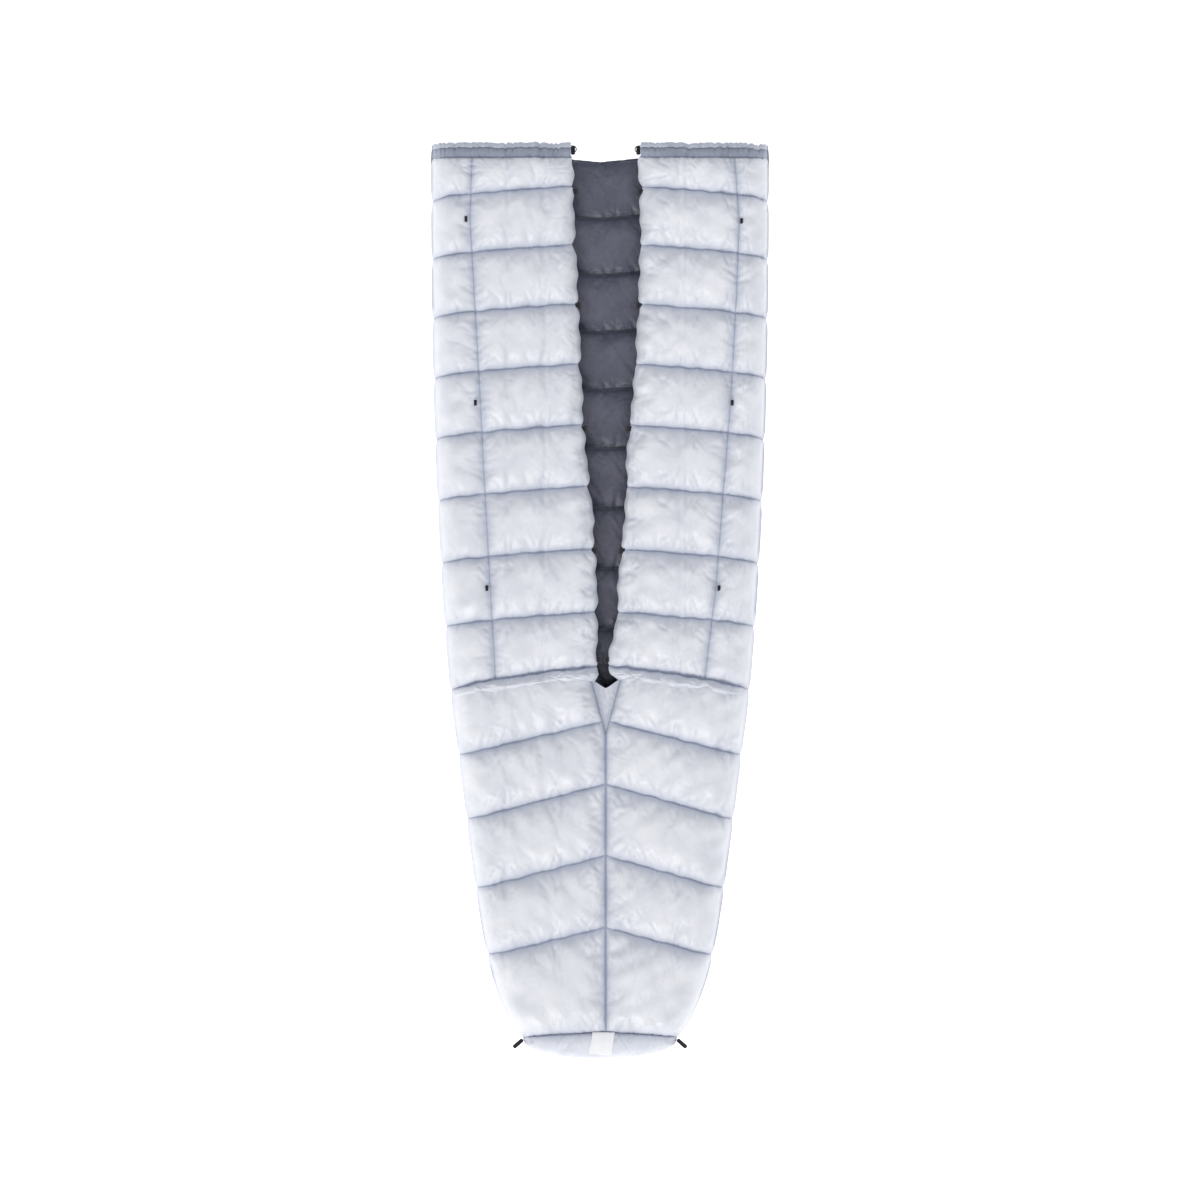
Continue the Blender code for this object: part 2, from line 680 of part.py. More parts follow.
def build_clips(side, word):
    """Plastic clips along the free edge, each hinged at its outer long side."""
    half_x = CLIP_WIDTH / 2
    half_y = CLIP_LENGTH / 2
    for number, station in enumerate(CLIP_STATIONS, 1):
        y = HEAD_Y - station
        edge = edge_reach(side, y - half_y, y + half_y) - side * GAP
        low, high = top_heights(edge, y, 0.5, 0.0)
        middle = (low + high) / 2
        place = Matrix.Translation((edge - side * half_x, y, middle))
        hole = chamfered(half_x - CLIP_RIM, half_y - CLIP_RIM, CLIP_HOLE_CUT)
        prism(f"{word}_clip_{number}", chamfered(half_x, half_y, CLIP_CUT), -CLIP_THICK / 2, CLIP_THICK / 2,
              "plastic", place, hole, pivot=(edge, y, middle + CLIP_THICK / 2))


def build_foot_tab(side, word):
    """Stiff webbing tab at a corner of the foot end, hinged at its inner upper edge."""
    corner = Vector((side * END_HALF, END_Y, JOIN_Z))
    away = Vector((side * math.cos(FOOT_TAB_TURN), -math.sin(FOOT_TAB_TURN), 0.0))
    pivot = corner + away * 2 * GAP
    centre = pivot + away * FOOT_TAB_LENGTH / 2
    turn = Matrix.Rotation(math.atan2(away.y, away.x), 4, "Z")
    prism(f"{word}_foot_tab", chamfered(FOOT_TAB_LENGTH / 2, FOOT_TAB_WIDTH / 2, TAB_CUT),
          -FOOT_TAB_THICK / 2, FOOT_TAB_THICK / 2, "webbing", Matrix.Translation(centre) @ turn,
          pivot=pivot + Vector((0.0, 0.0, FOOT_TAB_THICK / 2)))


def end_line(share, x):
    """Where a row of the end panel's shell runs at x, straight between its columns."""
    row = (END_Y - BUTT_GAP, END_RISE, 1.0, share)
    columns = end_columns(row)
    for x0, x1 in zip(columns, columns[1:]):
        if x0 <= x <= x1:
            return lerp(row_y(row, x0), row_y(row, x1), (x - x0) / (x1 - x0))
    return END_Y


def build_label(end_shell):
    """Blank label, sewn along its upper edge by the end seam, lying over the end panel's bend."""
    points = []
    lows = []
    highs = []
    columns = (LABEL_X - LABEL_WIDTH / 2, MIDDLE_X, LABEL_X + LABEL_WIDTH / 2)
    for first, second, share in ((0.0, 0.5, LABEL_MARGIN), (0.0, 0.5, 1.0), (0.5, 1.0, 1.0 - LABEL_MARGIN)):
        line = [(x, lerp(end_line(first, x), end_line(second, x), share)) for x in columns]
        seats = [seat_height(end_shell, x, y) for x, y in line]
        points.append(line)
        lows.append([seat + LABEL_LIFT for seat in seats])
        highs.append([seat + LABEL_LIFT + LABEL_THICK for seat in seats])
    pivot = (LABEL_X, points[0][1][1], lows[0][1])
    grid_solid("label", points, lows, highs, "label", pivot=pivot)


def build_head_binding():
    """Binding along the back's head edge."""
    row = open_rows(CROWNS, -BACK_HEAD_DROP, -BACK_DROP, -BACK_DROP)[0]
    columns = back_columns(row)[2:-2]
    near = [(x, row_y(row, x) + GAP) for x in columns]
    far = [(x, y + BINDING_DEPTH) for x, y in near]
    heights = [back_heights(x, row_y(row, x), 0.0, 0.0) for x in columns]
    lows = [low for low, _ in heights]
    highs = [high for _, high in heights]
    grid_solid("back_head_binding", [far, near], [lows, lows], [highs, highs], "lining")


def main():
    clear_scene()
    build_back()
    build_head_binding()
    for side, word in ((-1, "left"), (1, "right")):
        side_set, flap_set = build_tops(side, word)
        build_neck(side, word)
        build_clips(side, word)
        for number, (station, aside) in enumerate(LOOP_PLACES, 1):
            y = HEAD_Y - station
            inside_fold = aside < abs(fold_x(side, y))
            shell = flap_set["shell"] if inside_fold else side_set["shell"]
            build_loop(f"{word}_loop_{number}", shell, side * aside, y)
        build_foot_tab(side, word)
    end_set = build_foot_end()
    build_label(end_set["shell"])
    build_gusset_and_seam()


main()
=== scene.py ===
"""Down camp quilt, laid on its back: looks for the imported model, in metres, +Y to the head."""
import json
import math

import bmesh
import bpy
import numpy as np
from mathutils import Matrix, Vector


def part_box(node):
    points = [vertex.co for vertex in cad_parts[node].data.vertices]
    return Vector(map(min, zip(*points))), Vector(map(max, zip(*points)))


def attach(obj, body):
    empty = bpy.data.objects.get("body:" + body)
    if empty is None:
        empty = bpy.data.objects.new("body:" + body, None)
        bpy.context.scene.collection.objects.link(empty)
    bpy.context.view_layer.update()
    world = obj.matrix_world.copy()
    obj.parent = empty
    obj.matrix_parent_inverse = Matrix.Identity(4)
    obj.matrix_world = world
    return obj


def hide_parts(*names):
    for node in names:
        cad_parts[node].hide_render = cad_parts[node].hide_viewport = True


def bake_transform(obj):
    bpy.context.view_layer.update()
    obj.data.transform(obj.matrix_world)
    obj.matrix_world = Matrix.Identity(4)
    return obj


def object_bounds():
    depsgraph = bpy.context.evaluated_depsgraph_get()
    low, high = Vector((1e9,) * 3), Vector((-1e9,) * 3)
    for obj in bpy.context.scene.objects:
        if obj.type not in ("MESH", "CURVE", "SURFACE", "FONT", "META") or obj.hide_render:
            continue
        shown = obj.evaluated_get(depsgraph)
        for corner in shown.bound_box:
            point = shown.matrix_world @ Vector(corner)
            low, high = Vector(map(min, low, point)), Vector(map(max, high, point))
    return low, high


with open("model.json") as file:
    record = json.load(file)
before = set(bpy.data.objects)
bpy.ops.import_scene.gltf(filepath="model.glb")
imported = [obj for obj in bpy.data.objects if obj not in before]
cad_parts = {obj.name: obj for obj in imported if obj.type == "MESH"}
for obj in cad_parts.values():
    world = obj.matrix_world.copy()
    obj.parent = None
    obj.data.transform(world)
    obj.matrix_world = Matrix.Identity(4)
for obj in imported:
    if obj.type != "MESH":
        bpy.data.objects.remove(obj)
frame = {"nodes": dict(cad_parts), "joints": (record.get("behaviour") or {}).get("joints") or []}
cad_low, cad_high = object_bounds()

# ---------------------------------------------------------------- studio
# A plain white floor that glows a little, one soft light from the foot's left, a weaker and wider one from
# above, and a camera straight above, far enough that the quilt's height hardly shows.

CAMERA_HEIGHT = 7.0
FRAME_WIDTH = 2.520
SENSOR = 36.0
FLOOR_SIZE = 14.0
FLOOR_GLOW = 0.66
FLOOR_DROP = 0.0005


def linear(hex_colour):
    """Turn an sRGB hex value into linear red, green, blue and alpha."""
    channels = [int(hex_colour[n:n + 2], 16) / 255 for n in (1, 3, 5)]
    return [c / 12.92 if c <= 0.04045 else ((c + 0.055) / 1.055) ** 2.4 for c in channels] + [1.0]


def soft_sun(name, source, strength, spread, colour):
    """Even light along one direction, from source to the origin, softened over spread degrees."""
    data = bpy.data.lights.new(name, "SUN")
    data.energy = strength
    data.angle = math.radians(spread)
    data.color = linear(colour)[:3]
    lamp = bpy.data.objects.new(name, data)
    bpy.context.scene.collection.objects.link(lamp)
    look = -np.array(source, float)
    lamp.rotation_euler = (math.atan2(math.hypot(look[0], look[1]), -look[2]), 0.0,
                           math.atan2(look[1], look[0]) - math.pi / 2)


camera_data = bpy.data.cameras.new("camera")
camera_data.sensor_width = SENSOR
camera_data.lens = SENSOR * (CAMERA_HEIGHT - cad_high[2]) / FRAME_WIDTH
camera = bpy.data.objects.new("camera", camera_data)
camera.location = (0.0, 0.0, CAMERA_HEIGHT)
bpy.context.scene.collection.objects.link(camera)
bpy.context.scene.camera = camera

soft_sun("key_light", (-0.30, -1.0, 0.80), 1.30, 22.0, "#FFFDFA")
soft_sun("top_light", (0.1, 0.1, 1.0), 0.78, 50.0, "#F6F8FF")

world = bpy.data.worlds.new("studio")
world.use_nodes = True
world.node_tree.nodes["Background"].inputs["Color"].default_value = linear("#F4F6FA")
world.node_tree.nodes["Background"].inputs["Strength"].default_value = 0.41
bpy.context.scene.world = world
bpy.context.scene.view_settings.view_transform = "Standard"


def add_node(tree, kind, settings=(), links=(), **inputs):
    """Add one node: settings are its properties, inputs its socket values, links (socket, source) pairs."""
    node = tree.nodes.new(kind)
    for name, value in dict(settings).items():
        setattr(node, name, value)
    for name, value in inputs.items():
        node.inputs[name.replace("_", " ")].default_value = value
    for socket, source in links:
        tree.links.new(source, node.inputs[socket])
    return node


def new_material(name):
    """An empty node material with its shader and its tree."""
    made = bpy.data.materials.new(name)
    made.use_nodes = True
    return made, made.node_tree, made.node_tree.nodes["Principled BSDF"]


def floor_paint():
    """Matt white studio paint: evenly white, with no gloss and a faint glow."""
    made, tree, shader = new_material("matt_white_floor")
    shader.inputs["Base Color"].default_value = linear("#FFFFFF")
    shader.inputs["Roughness"].default_value = 1.0
    shader.inputs["Specular IOR Level"].default_value = 0.0
    shader.inputs["Emission Color"].default_value = linear("#FFFFFF")
    shader.inputs["Emission Strength"].default_value = FLOOR_GLOW
    return made


def mesh_piece(name, points, faces, finish, smooth=True):
    """Make an object at the origin from a point array and a face list."""
    mesh = bpy.data.meshes.new(name)
    mesh.from_pydata([tuple(p) for p in np.asarray(points, float)], [], [tuple(f) for f in faces])
    mesh.polygons.foreach_set("use_smooth", np.full(len(mesh.polygons), smooth))
    mesh.materials.append(finish)
    mesh.update()
    piece = bpy.data.objects.new(name, mesh)
    bpy.context.scene.collection.objects.link(piece)
    return piece


half_floor = FLOOR_SIZE / 2
floor = mesh_piece("floor", [(-half_floor, -half_floor, 0), (half_floor, -half_floor, 0),
                             (half_floor, half_floor, 0), (-half_floor, half_floor, 0)],
                   [(0, 1, 2, 3)], floor_paint(), smooth=False)
floor.location.z = -FLOOR_DROP

# ---------------------------------------------------------------- neck drawcord
# A 2 mm braided elastic drawcord runs in each head hem. Past the hem's inner end it makes one short loop
# and goes back under the neck tab, so both ends of the loop are held.

CORD_WIDTH = 0.002
LOOP_BEND = 0.0070
LOOP_STRAIGHT = 0.0047
BEND_STEPS = 10


def cord_fabric():
    """Braided black polyester over rubber: a fine chevron of bumps, hardly any shine."""
    made, tree, shader = new_material("braided_black_drawcord")
    shader.inputs["Roughness"].default_value = 0.75
    place = add_node(tree, "ShaderNodeTexCoord")
    weave = add_node(tree, "ShaderNodeTexVoronoi", Scale=2200.0, links=[("Vector", place.outputs["Object"])])
    shade = add_node(tree, "ShaderNodeMixRGB", links=[("Fac", weave.outputs["Distance"])],
                     Color1=linear("#0E0D16"), Color2=linear("#2A2932"))
    bump = add_node(tree, "ShaderNodeBump", links=[("Height", weave.outputs["Distance"])],
                    Strength=0.5, Distance=0.0003)
    tree.links.new(shade.outputs["Color"], shader.inputs["Base Color"])
    tree.links.new(bump.outputs["Normal"], shader.inputs["Normal"])
    return made


black_cord = cord_fabric()


def round_tube(name, path, radius, finish, sides=10):
    """A ring of points, at right angles to the path, carried along it; both ends are capped."""
    path = np.asarray(path, float)
    ahead = np.gradient(path, axis=0)
    ahead /= np.linalg.norm(ahead, axis=1)[:, None]
    across = np.cross(ahead, (0.0, 0.0, 1.0))
    steep = np.linalg.norm(across, axis=1) < 1e-4
    across[steep] = (1.0, 0.0, 0.0)
    across /= np.linalg.norm(across, axis=1)[:, None]
    over = np.cross(across, ahead)
    turn = np.linspace(0, 2 * np.pi, sides, endpoint=False)
    ring = np.cos(turn)[None, :, None] * across[:, None, :] + np.sin(turn)[None, :, None] * over[:, None, :]
    points = (path[:, None, :] + radius * ring).reshape(-1, 3)
    count = len(path)
    row = np.arange(count - 1)[:, None] * sides
    col = np.arange(sides)[None, :]
    nxt = (col + 1) % sides
    faces = np.stack([row + col, row + sides + col, row + sides + nxt, row + nxt], axis=-1)
    faces = faces.reshape(-1, 4).tolist()
    faces.append(list(range(sides)))
    faces.append(list(range((count - 1) * sides, count * sides))[::-1])
    piece = mesh_piece(name, points, faces, finish)
    return outwards(piece)


def outwards(piece):
    """Turn a closed mesh's faces outwards."""
    work = bmesh.new()
    work.from_mesh(piece.data)
    bmesh.ops.recalc_face_normals(work, faces=work.faces[:])
    work.to_mesh(piece.data)
    work.free()
    return piece


for side, word in ((-1, "left"), (1, "right")):
    low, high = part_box(f"{word}_neck_loop")
    level = (low[2] + high[2]) / 2
    outer = high[0] if side > 0 else low[0]
    top = high[1] - CORD_WIDTH / 2
    sweep = np.linspace(0, np.pi, BEND_STEPS)
    bend_x = outer - side * (LOOP_STRAIGHT + LOOP_BEND * np.sin(sweep))
    bend_y = top - LOOP_BEND + LOOP_BEND * np.cos(sweep)
    route = np.vstack([[(outer, top, level), (outer - side * LOOP_STRAIGHT / 2, top, level)],
                       np.stack([bend_x, bend_y, np.full(BEND_STEPS, level)], 1),
                       [(outer - side * LOOP_STRAIGHT / 2, top - 2 * LOOP_BEND, level),
                        (outer, top - 2 * LOOP_BEND, level)]])
    loop = round_tube(f"{word}_neck_cord_loop", route, CORD_WIDTH / 2, black_cord)
    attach(loop, f"{word}_flap")
    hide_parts(f"{word}_neck_loop")

# ---------------------------------------------------------------- back
# The sleeper lies on one padded layer: pale ripstop nylon outside, slate taffeta inside, down between.
# Its cross seams hold the down in chambers, and its long sides are sewn to the front.

HEAD_Y = cad_high[1]
MOUTH_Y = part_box("left_side_shell")[0][1]
END_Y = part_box("left_foot_shell")[0][1]
TOE_PUFF = 0.010
TOE_Y = cad_low[1] - TOE_PUFF
HEAD_HALF = cad_high[0]
MOUTH_HALF = -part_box("left_foot_shell")[0][0]
END_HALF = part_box("foot_end_shell")[1][0]
BACK_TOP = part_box("back_lining")[1][2]
LINING_DROP = 0.0088
LINING_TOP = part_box("left_side_lining")[1][2] - LINING_DROP
CREST_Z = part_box("left_side_shell")[1][2]
OPEN_LENGTH = HEAD_Y - MOUTH_Y
FOOT_LENGTH = MOUTH_Y - END_Y
TOE_ROUND = 0.060
MIDDLE_X = 0.012
SIDE_SOFT = 0.060
FREE_SOFT = 0.040
EDGE_Z = (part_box("left_clip_3")[0][2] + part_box("left_clip_3")[1][2]) / 2
SEAM_Z = (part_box("mouth_gusset")[0][2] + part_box("mouth_gusset")[1][2]) / 2

HEAD_SEAMS = [HEAD_Y, 0.844]
for pitch_step in range(8):
    HEAD_SEAMS.append(HEAD_SEAMS[-1] - 0.1235 - 0.00175 * pitch_step)
HEAD_SEAMS[-1] = MOUTH_Y
FOOT_SEAMS = [MOUTH_Y, -0.328, -0.464, -0.610, -0.751, END_Y]


def half_width(y):
    """Half width of the quilt at y: (1 - s^2.5) falls to the mouth, then a straight taper and a round toe."""
    y = np.asarray(y, float)
    upper = np.clip((HEAD_Y - y) / OPEN_LENGTH, 0, 1)
    lower = np.clip((MOUTH_Y - y) / FOOT_LENGTH, 0, 1)
    top = HEAD_HALF - (HEAD_HALF - MOUTH_HALF) * upper ** 2.5
    foot = MOUTH_HALF - (MOUTH_HALF - END_HALF - TOE_ROUND) * lower - TOE_ROUND * lower ** 8
    return np.where(y >= MOUTH_Y, top, foot)


def ease(share):
    """Quarter circle from 0 at 0 to 1 at 1: how a stuffed edge rounds over."""
    share = np.clip(share, 0, 1)
    return np.sqrt(1 - (1 - share) ** 2)


def mix(a, b, share):
    """Straight mix of two values."""
    return a + (b - a) * share


def waves(x, y, lengths, seed):
    """Smooth noise from -1 to 1: a sum of plane waves with seeded directions, one set per length."""
    rng = np.random.default_rng(seed)
    total = np.zeros(np.broadcast(x, y).shape)
    for length in lengths:
        for _ in range(4):
            angle, phase = rng.uniform(0, 2 * np.pi, 2)
            total += np.sin(2 * np.pi * (x * math.cos(angle) + y * math.sin(angle)) / length + phase)
    return total / (4 * len(lengths)) * 1.6


def pucker(along, away, reach, seed):
    """Gathers of cloth that run away from a seam: narrow valleys that lean and fan, gone past reach."""
    rng = np.random.default_rng(seed)
    total = np.zeros(np.broadcast(along, away).shape)
    for length, weight in ((0.0125, 0.6), (0.019, 1.0), (0.031, 1.2)):
        phase, second = rng.uniform(0, 2 * np.pi, 2)
        lean = rng.uniform(-0.25, 0.25) + 0.55 * np.sin(2 * np.pi * along / rng.uniform(0.10, 0.16) + phase)
        bent = along + lean * away
        wander = 1.5 * np.sin(2 * np.pi * bent / rng.uniform(0.06, 0.11) + second)
        wander = wander + 0.9 * np.sin(2 * np.pi * bent / rng.uniform(0.033, 0.05) + phase)
        ridge = np.sin(np.pi * bent / length + phase + wander)
        strength = 0.55 + 0.45 * np.sin(2 * np.pi * along / rng.uniform(0.05, 0.12) + second)
        fade = np.exp(-(away / (reach * (0.4 + 0.8 * strength))) ** 1.4)
        total += weight * strength * fade * (1 - np.abs(ridge)) ** 2
    return -total


def crease_shade(gathers):
    """How much painted shade darkens the cloth in a gather's valley."""
    return np.clip(-gathers * 0.56, 0, 0.72)


def chambers(seams, rises, per):
    """Per row of a run of chambers: y at the side, rise to the middle, distance to the nearest cross seam."""
    index = np.arange((len(seams) - 1) * per + 1) / per
    side = np.interp(index, np.arange(len(seams)), seams)
    rise = np.interp(index, np.arange(len(rises)), rises)
    share = index - np.floor(index)
    gap = np.abs(np.gradient(side)) * per
    return side, rise, np.minimum(share, 1 - share) * gap


def cloth(name, points, finish, seam, up=True):
    """Make a sheet from a grid of points, with UVs in metres along it and the seam attribute for its finish,
    which also carries painted shade.
    """
    rows, cols = points.shape[:2]
    index = np.arange(rows * cols).reshape(rows, cols)
    quads = np.stack([index[:-1, :-1], index[1:, :-1], index[1:, 1:], index[:-1, 1:]], -1).reshape(-1, 4)
    a, b, c = (points.reshape(-1, 3)[quads[:, n]] for n in (0, 1, 2))
    facing = np.cross(b - a, c - b)[:, 2].sum()
    if (facing > 0) != up:
        quads = quads[:, ::-1]
    piece = mesh_piece(name, points.reshape(-1, 3), quads.tolist(), finish)
    across = np.linalg.norm(np.diff(points, axis=1, prepend=points[:, :1]), axis=2).cumsum(1)
    along = np.linalg.norm(np.diff(points, axis=0, prepend=points[:1]), axis=2).cumsum(0)
    place = np.stack([across, along], -1).reshape(-1, 2)
    layer = piece.data.uv_layers.new(name="flat")
    corners = np.zeros(len(piece.data.loops), int)
    piece.data.loops.foreach_get("vertex_index", corners)
    layer.data.foreach_set("uv", place[corners].astype(np.float32).ravel())
    mark = piece.data.attributes.new("seam", "FLOAT", "POINT")
    mark.data.foreach_set("value", np.broadcast_to(seam, (rows, cols)).astype(np.float32).ravel())
    return piece


def nylon(name, light, middle, shade, line, crease, rough, sheen):
    """Thin calendered nylon over down: clouded where the down is thin, darker on its seams, with painted shade
    in its hollows.
    """
    made, tree, shader = new_material(name)
    place = add_node(tree, "ShaderNodeTexCoord")
    cloud = add_node(tree, "ShaderNodeTexNoise", Scale=16.0, Detail=3.0, Roughness=0.55,
                     links=[("Vector", place.outputs["Object"])])
    tone = add_node(tree, "ShaderNodeValToRGB", links=[("Fac", cloud.outputs["Fac"])])
    tone.color_ramp.elements[0].position = 0.36
    tone.color_ramp.elements[0].color = linear(middle)
    tone.color_ramp.elements[1].position = 0.62
    tone.color_ramp.elements[1].color = linear(light)
    mark = add_node(tree, "ShaderNodeAttribute", settings={"attribute_name": "seam"})
    # Painted shade: the seam attribute mixes towards the shade colour beside seams, in gathers' valleys and on
    # edges that round away.
    wide = add_node(tree, "ShaderNodeMapRange", links=[("Value", mark.outputs["Fac"])])
    for name_of, value in (("From Min", 0.05), ("From Max", 0.8), ("To Min", 0.0), ("To Max", 0.75)):
        wide.inputs[name_of].default_value = value
    near = add_node(tree, "ShaderNodeMixRGB", Color2=linear(shade),
                    links=[("Fac", wide.outputs["Result"]), ("Color1", tone.outputs["Color"])])
    # Above 0.8 the seam attribute paints the line colour: seam lines, and on the lining the painted shadow deep
    # in the mouth.
    thin = add_node(tree, "ShaderNodeMapRange", links=[("Value", mark.outputs["Fac"])])
    for name_of, value in (("From Min", 0.80), ("From Max", 0.97), ("To Min", 0.0), ("To Max", 0.8)):
        thin.inputs[name_of].default_value = value
    stitched = add_node(tree, "ShaderNodeMixRGB", Color2=linear(line),
                        links=[("Fac", thin.outputs["Result"]), ("Color1", near.outputs["Color"])])
    tree.links.new(stitched.outputs["Color"], shader.inputs["Base Color"])
    weave = add_node(tree, "ShaderNodeTexNoise", Scale=420.0, Detail=2.0,
                     links=[("Vector", place.outputs["Object"])])
    rumple = add_node(tree, "ShaderNodeTexNoise", Scale=58.0, Detail=4.0, Roughness=0.6, Distortion=0.6,
                      links=[("Vector", place.outputs["Object"])])
    coarse = add_node(tree, "ShaderNodeBump", Strength=crease, Distance=0.004,
                      links=[("Height", rumple.outputs["Fac"])])
    fine = add_node(tree, "ShaderNodeBump", Strength=0.12, Distance=0.0006,
                    links=[("Height", weave.outputs["Fac"]), ("Normal", coarse.outputs["Normal"])])
    tree.links.new(fine.outputs["Normal"], shader.inputs["Normal"])
    shader.inputs["Roughness"].default_value = rough
    shader.inputs["Sheen Weight"].default_value = sheen
    shader.inputs["Sheen Roughness"].default_value = 0.4
    return made


# The fourth colour is painted shade; the fifth is the seam line colour, on the lining also the painted shadow
# in the mouth.
shell_nylon = nylon("pale_grey_ripstop_nylon", "#F3F4F8", "#E8EAF0", "#C6CCDA", "#8F98B0", 0.28, 0.40, 0.12)
slate_lining = nylon("slate_taffeta_lining", "#5F6070", "#515363", "#3B4153", "#1A1C28", 0.55, 0.42, 0.06)

BACK_DROPS = [-0.034] + [-0.033 + 0.0042 * k for k in range(8)] + [0.0]
EDGE_PINCH = 0.0045


def arc_y(x):
    """The foot end: an arc of an ellipse below its two corners."""
    return END_Y - (END_Y - TOE_Y) * np.sqrt(np.clip(1 - (np.asarray(x) / END_HALF) ** 2, 0, 1))


def edge_half(side_y, gap):
    """Half width of the outline, pinched where a seam meets the side."""
    return half_width(side_y) - EDGE_PINCH * (1 - ease(gap / 0.032))


def rounding(x, y):
    """0 on the side seam or the foot arc, 1 where the padded edge has rounded over."""
    inside = half_width(y) - np.abs(x) - EDGE_PINCH
    inside = np.where(y < END_Y + 2 * SIDE_SOFT, np.minimum(inside, y - arc_y(x)), inside)
    return ease(inside / SIDE_SOFT)


def seam_line_and_shade(distance):
    """1 on a seam, fading over the gathers beside it: the seam line, then painted shade in the hollow."""
    return np.exp(-np.clip(distance, 0, 1) / 0.012)


def back_plan(per, cols):
    """Grid of the whole back: x = c * half(y), y = side y + drop * (1 - |c|), then on to the foot arc."""
    seams = HEAD_SEAMS + FOOT_SEAMS[1:]
    side, drop, gap = chambers(seams, BACK_DROPS + [-0.02] * 4 + [0.0], per)
    c = np.linspace(-1, 1, cols)[None, :]
    half = edge_half(side, gap)[:, None]
    x = half * c
    y = side[:, None] + drop[:, None] * (1 - np.abs(c))
    share = np.linspace(0, 1, per // 3 + 1)[1:, None]
    x_end = c * END_HALF * (1 - 0.02 * share)
    y_end = mix(END_Y, arc_y(x_end), share)
    gap_end = share[:, 0] * (END_Y - TOE_Y)
    return np.vstack([x, x_end]), np.vstack([y, y_end]), np.concatenate([gap, gap_end])[:, None]


x, y, gap = back_plan(18, 91)
round_over = rounding(x, y)
puff = ease(gap / 0.045)
lump = waves(x, y, (0.09, 0.15), 11) * 0.004
gathers = pucker(x, gap + 0 * x, 0.026, 12) * 0.0026
under = mix(BACK_TOP, 0.001 + 0.011 * (1 - puff), round_over)
under = under + np.maximum(lump - 0.5 * gathers, 0.0) * round_over
# Seam lines, with painted shade in the hollow beside each cross seam.
back_shell = cloth("back_shell_cloth", np.stack([x, y, under], -1), shell_nylon, seam_line_and_shade(gap), up=False)

LINING_COLUMNS = 161
x, y, gap = back_plan(26, LINING_COLUMNS)
round_over = rounding(x, y)
puff = ease(gap / 0.048)
lump = waves(x, y, (0.07, 0.12), 21) * 0.003
gathers = pucker(x + 0.5 * gap, gap + 0 * x, 0.040, 22)
slant = pucker(0.80 * x + 0.60 * y, 0.05 + 0 * x, 0.09, 23)
over = BACK_TOP - 0.001 + (-0.014 * (1 - puff) + lump * puff + 0.0038 * gathers * puff ** 0.5
                           + 0.0022 * slant * puff) * round_over
# Painted shadow deep in the mouth, and painted shade in the gathers' valleys and beside the seams.
mouth_shade = np.clip((-0.105 - y) / 0.05, 0, 1)
back_lining = cloth("back_lining_cloth", np.stack([x, y, over], -1), slate_lining,
                    np.maximum(np.maximum(seam_line_and_shade(gap), mouth_shade), crease_shade(gathers)))
for piece, node, slot_name in ((back_shell, "back_shell", "shell_nylon"),
                               (back_lining, "back_lining", "lining_nylon")):
    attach(piece, "root")
    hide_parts(node)
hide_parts("back_fill")

# ---------------------------------------------------------------- front panels
# Each side of the front is one padded panel from the side seam to its free edge. Cross seams hold the down, and
# one seam runs the whole length. On the quilt the panel folds back along a line from head corner to mouth;
# these sheets are not attached to the flap, so here they do not fold.

FRONT_RISES = [0.0] + [0.033] * 8 + [0.055, 0.047]
ROLL = 0.029
SHELL_START = 0.938
FREE_AT = [-0.170, -0.155, -0.133, -0.097, -0.059, 0.072, 0.194, 0.323, 0.447, 0.57, 0.692, 0.81, 0.928]
FREE_HALF = {-1: [0.026, 0.018, 0.0210, 0.0265, 0.0215, 0.0260, 0.0335, 0.0485, 0.0560, 0.0605, 0.0660,
                  0.0725, 0.0738],
             1: [0.028, 0.014, 0.0085, 0.0145, 0.0265, 0.0345, 0.0470, 0.0510, 0.0640, 0.0720, 0.0765,
                 0.0790, 0.0739]}
FRONT_ROWS = 26
FRONT_COLUMNS = 67
LONG_COLUMN = 21
LONG_SHARE = LONG_COLUMN / (FRONT_COLUMNS - 1)
LONG_AT = [-0.171, -0.116, 0.021, 0.211, 0.416, 0.63, 0.80, 0.95]
LONG_SEAM = {-1: [-0.2205, -0.2226, -0.231, -0.2416, -0.252, -0.2640, -0.2740, -0.2690],
             1: [0.2200, 0.2268, 0.2437, 0.2585, 0.2753, 0.2869, 0.2937, 0.2820]}


def free_line(side, y, bulge):
    """x of a free edge: half the opening at y, less what the chambers bulge into it."""
    wave = 0.0016 * np.sin(2 * np.pi * y / 0.043 + side) + 0.0014 * np.sin(2 * np.pi * y / 0.087 + 2 * side)
    return MIDDLE_X + side * (np.interp(y, FREE_AT, FREE_HALF[side]) + wave - bulge)


def long_line(side, y):
    """x of the seam that runs the length of a front panel."""
    return np.interp(y, LONG_AT, LONG_SEAM[side])


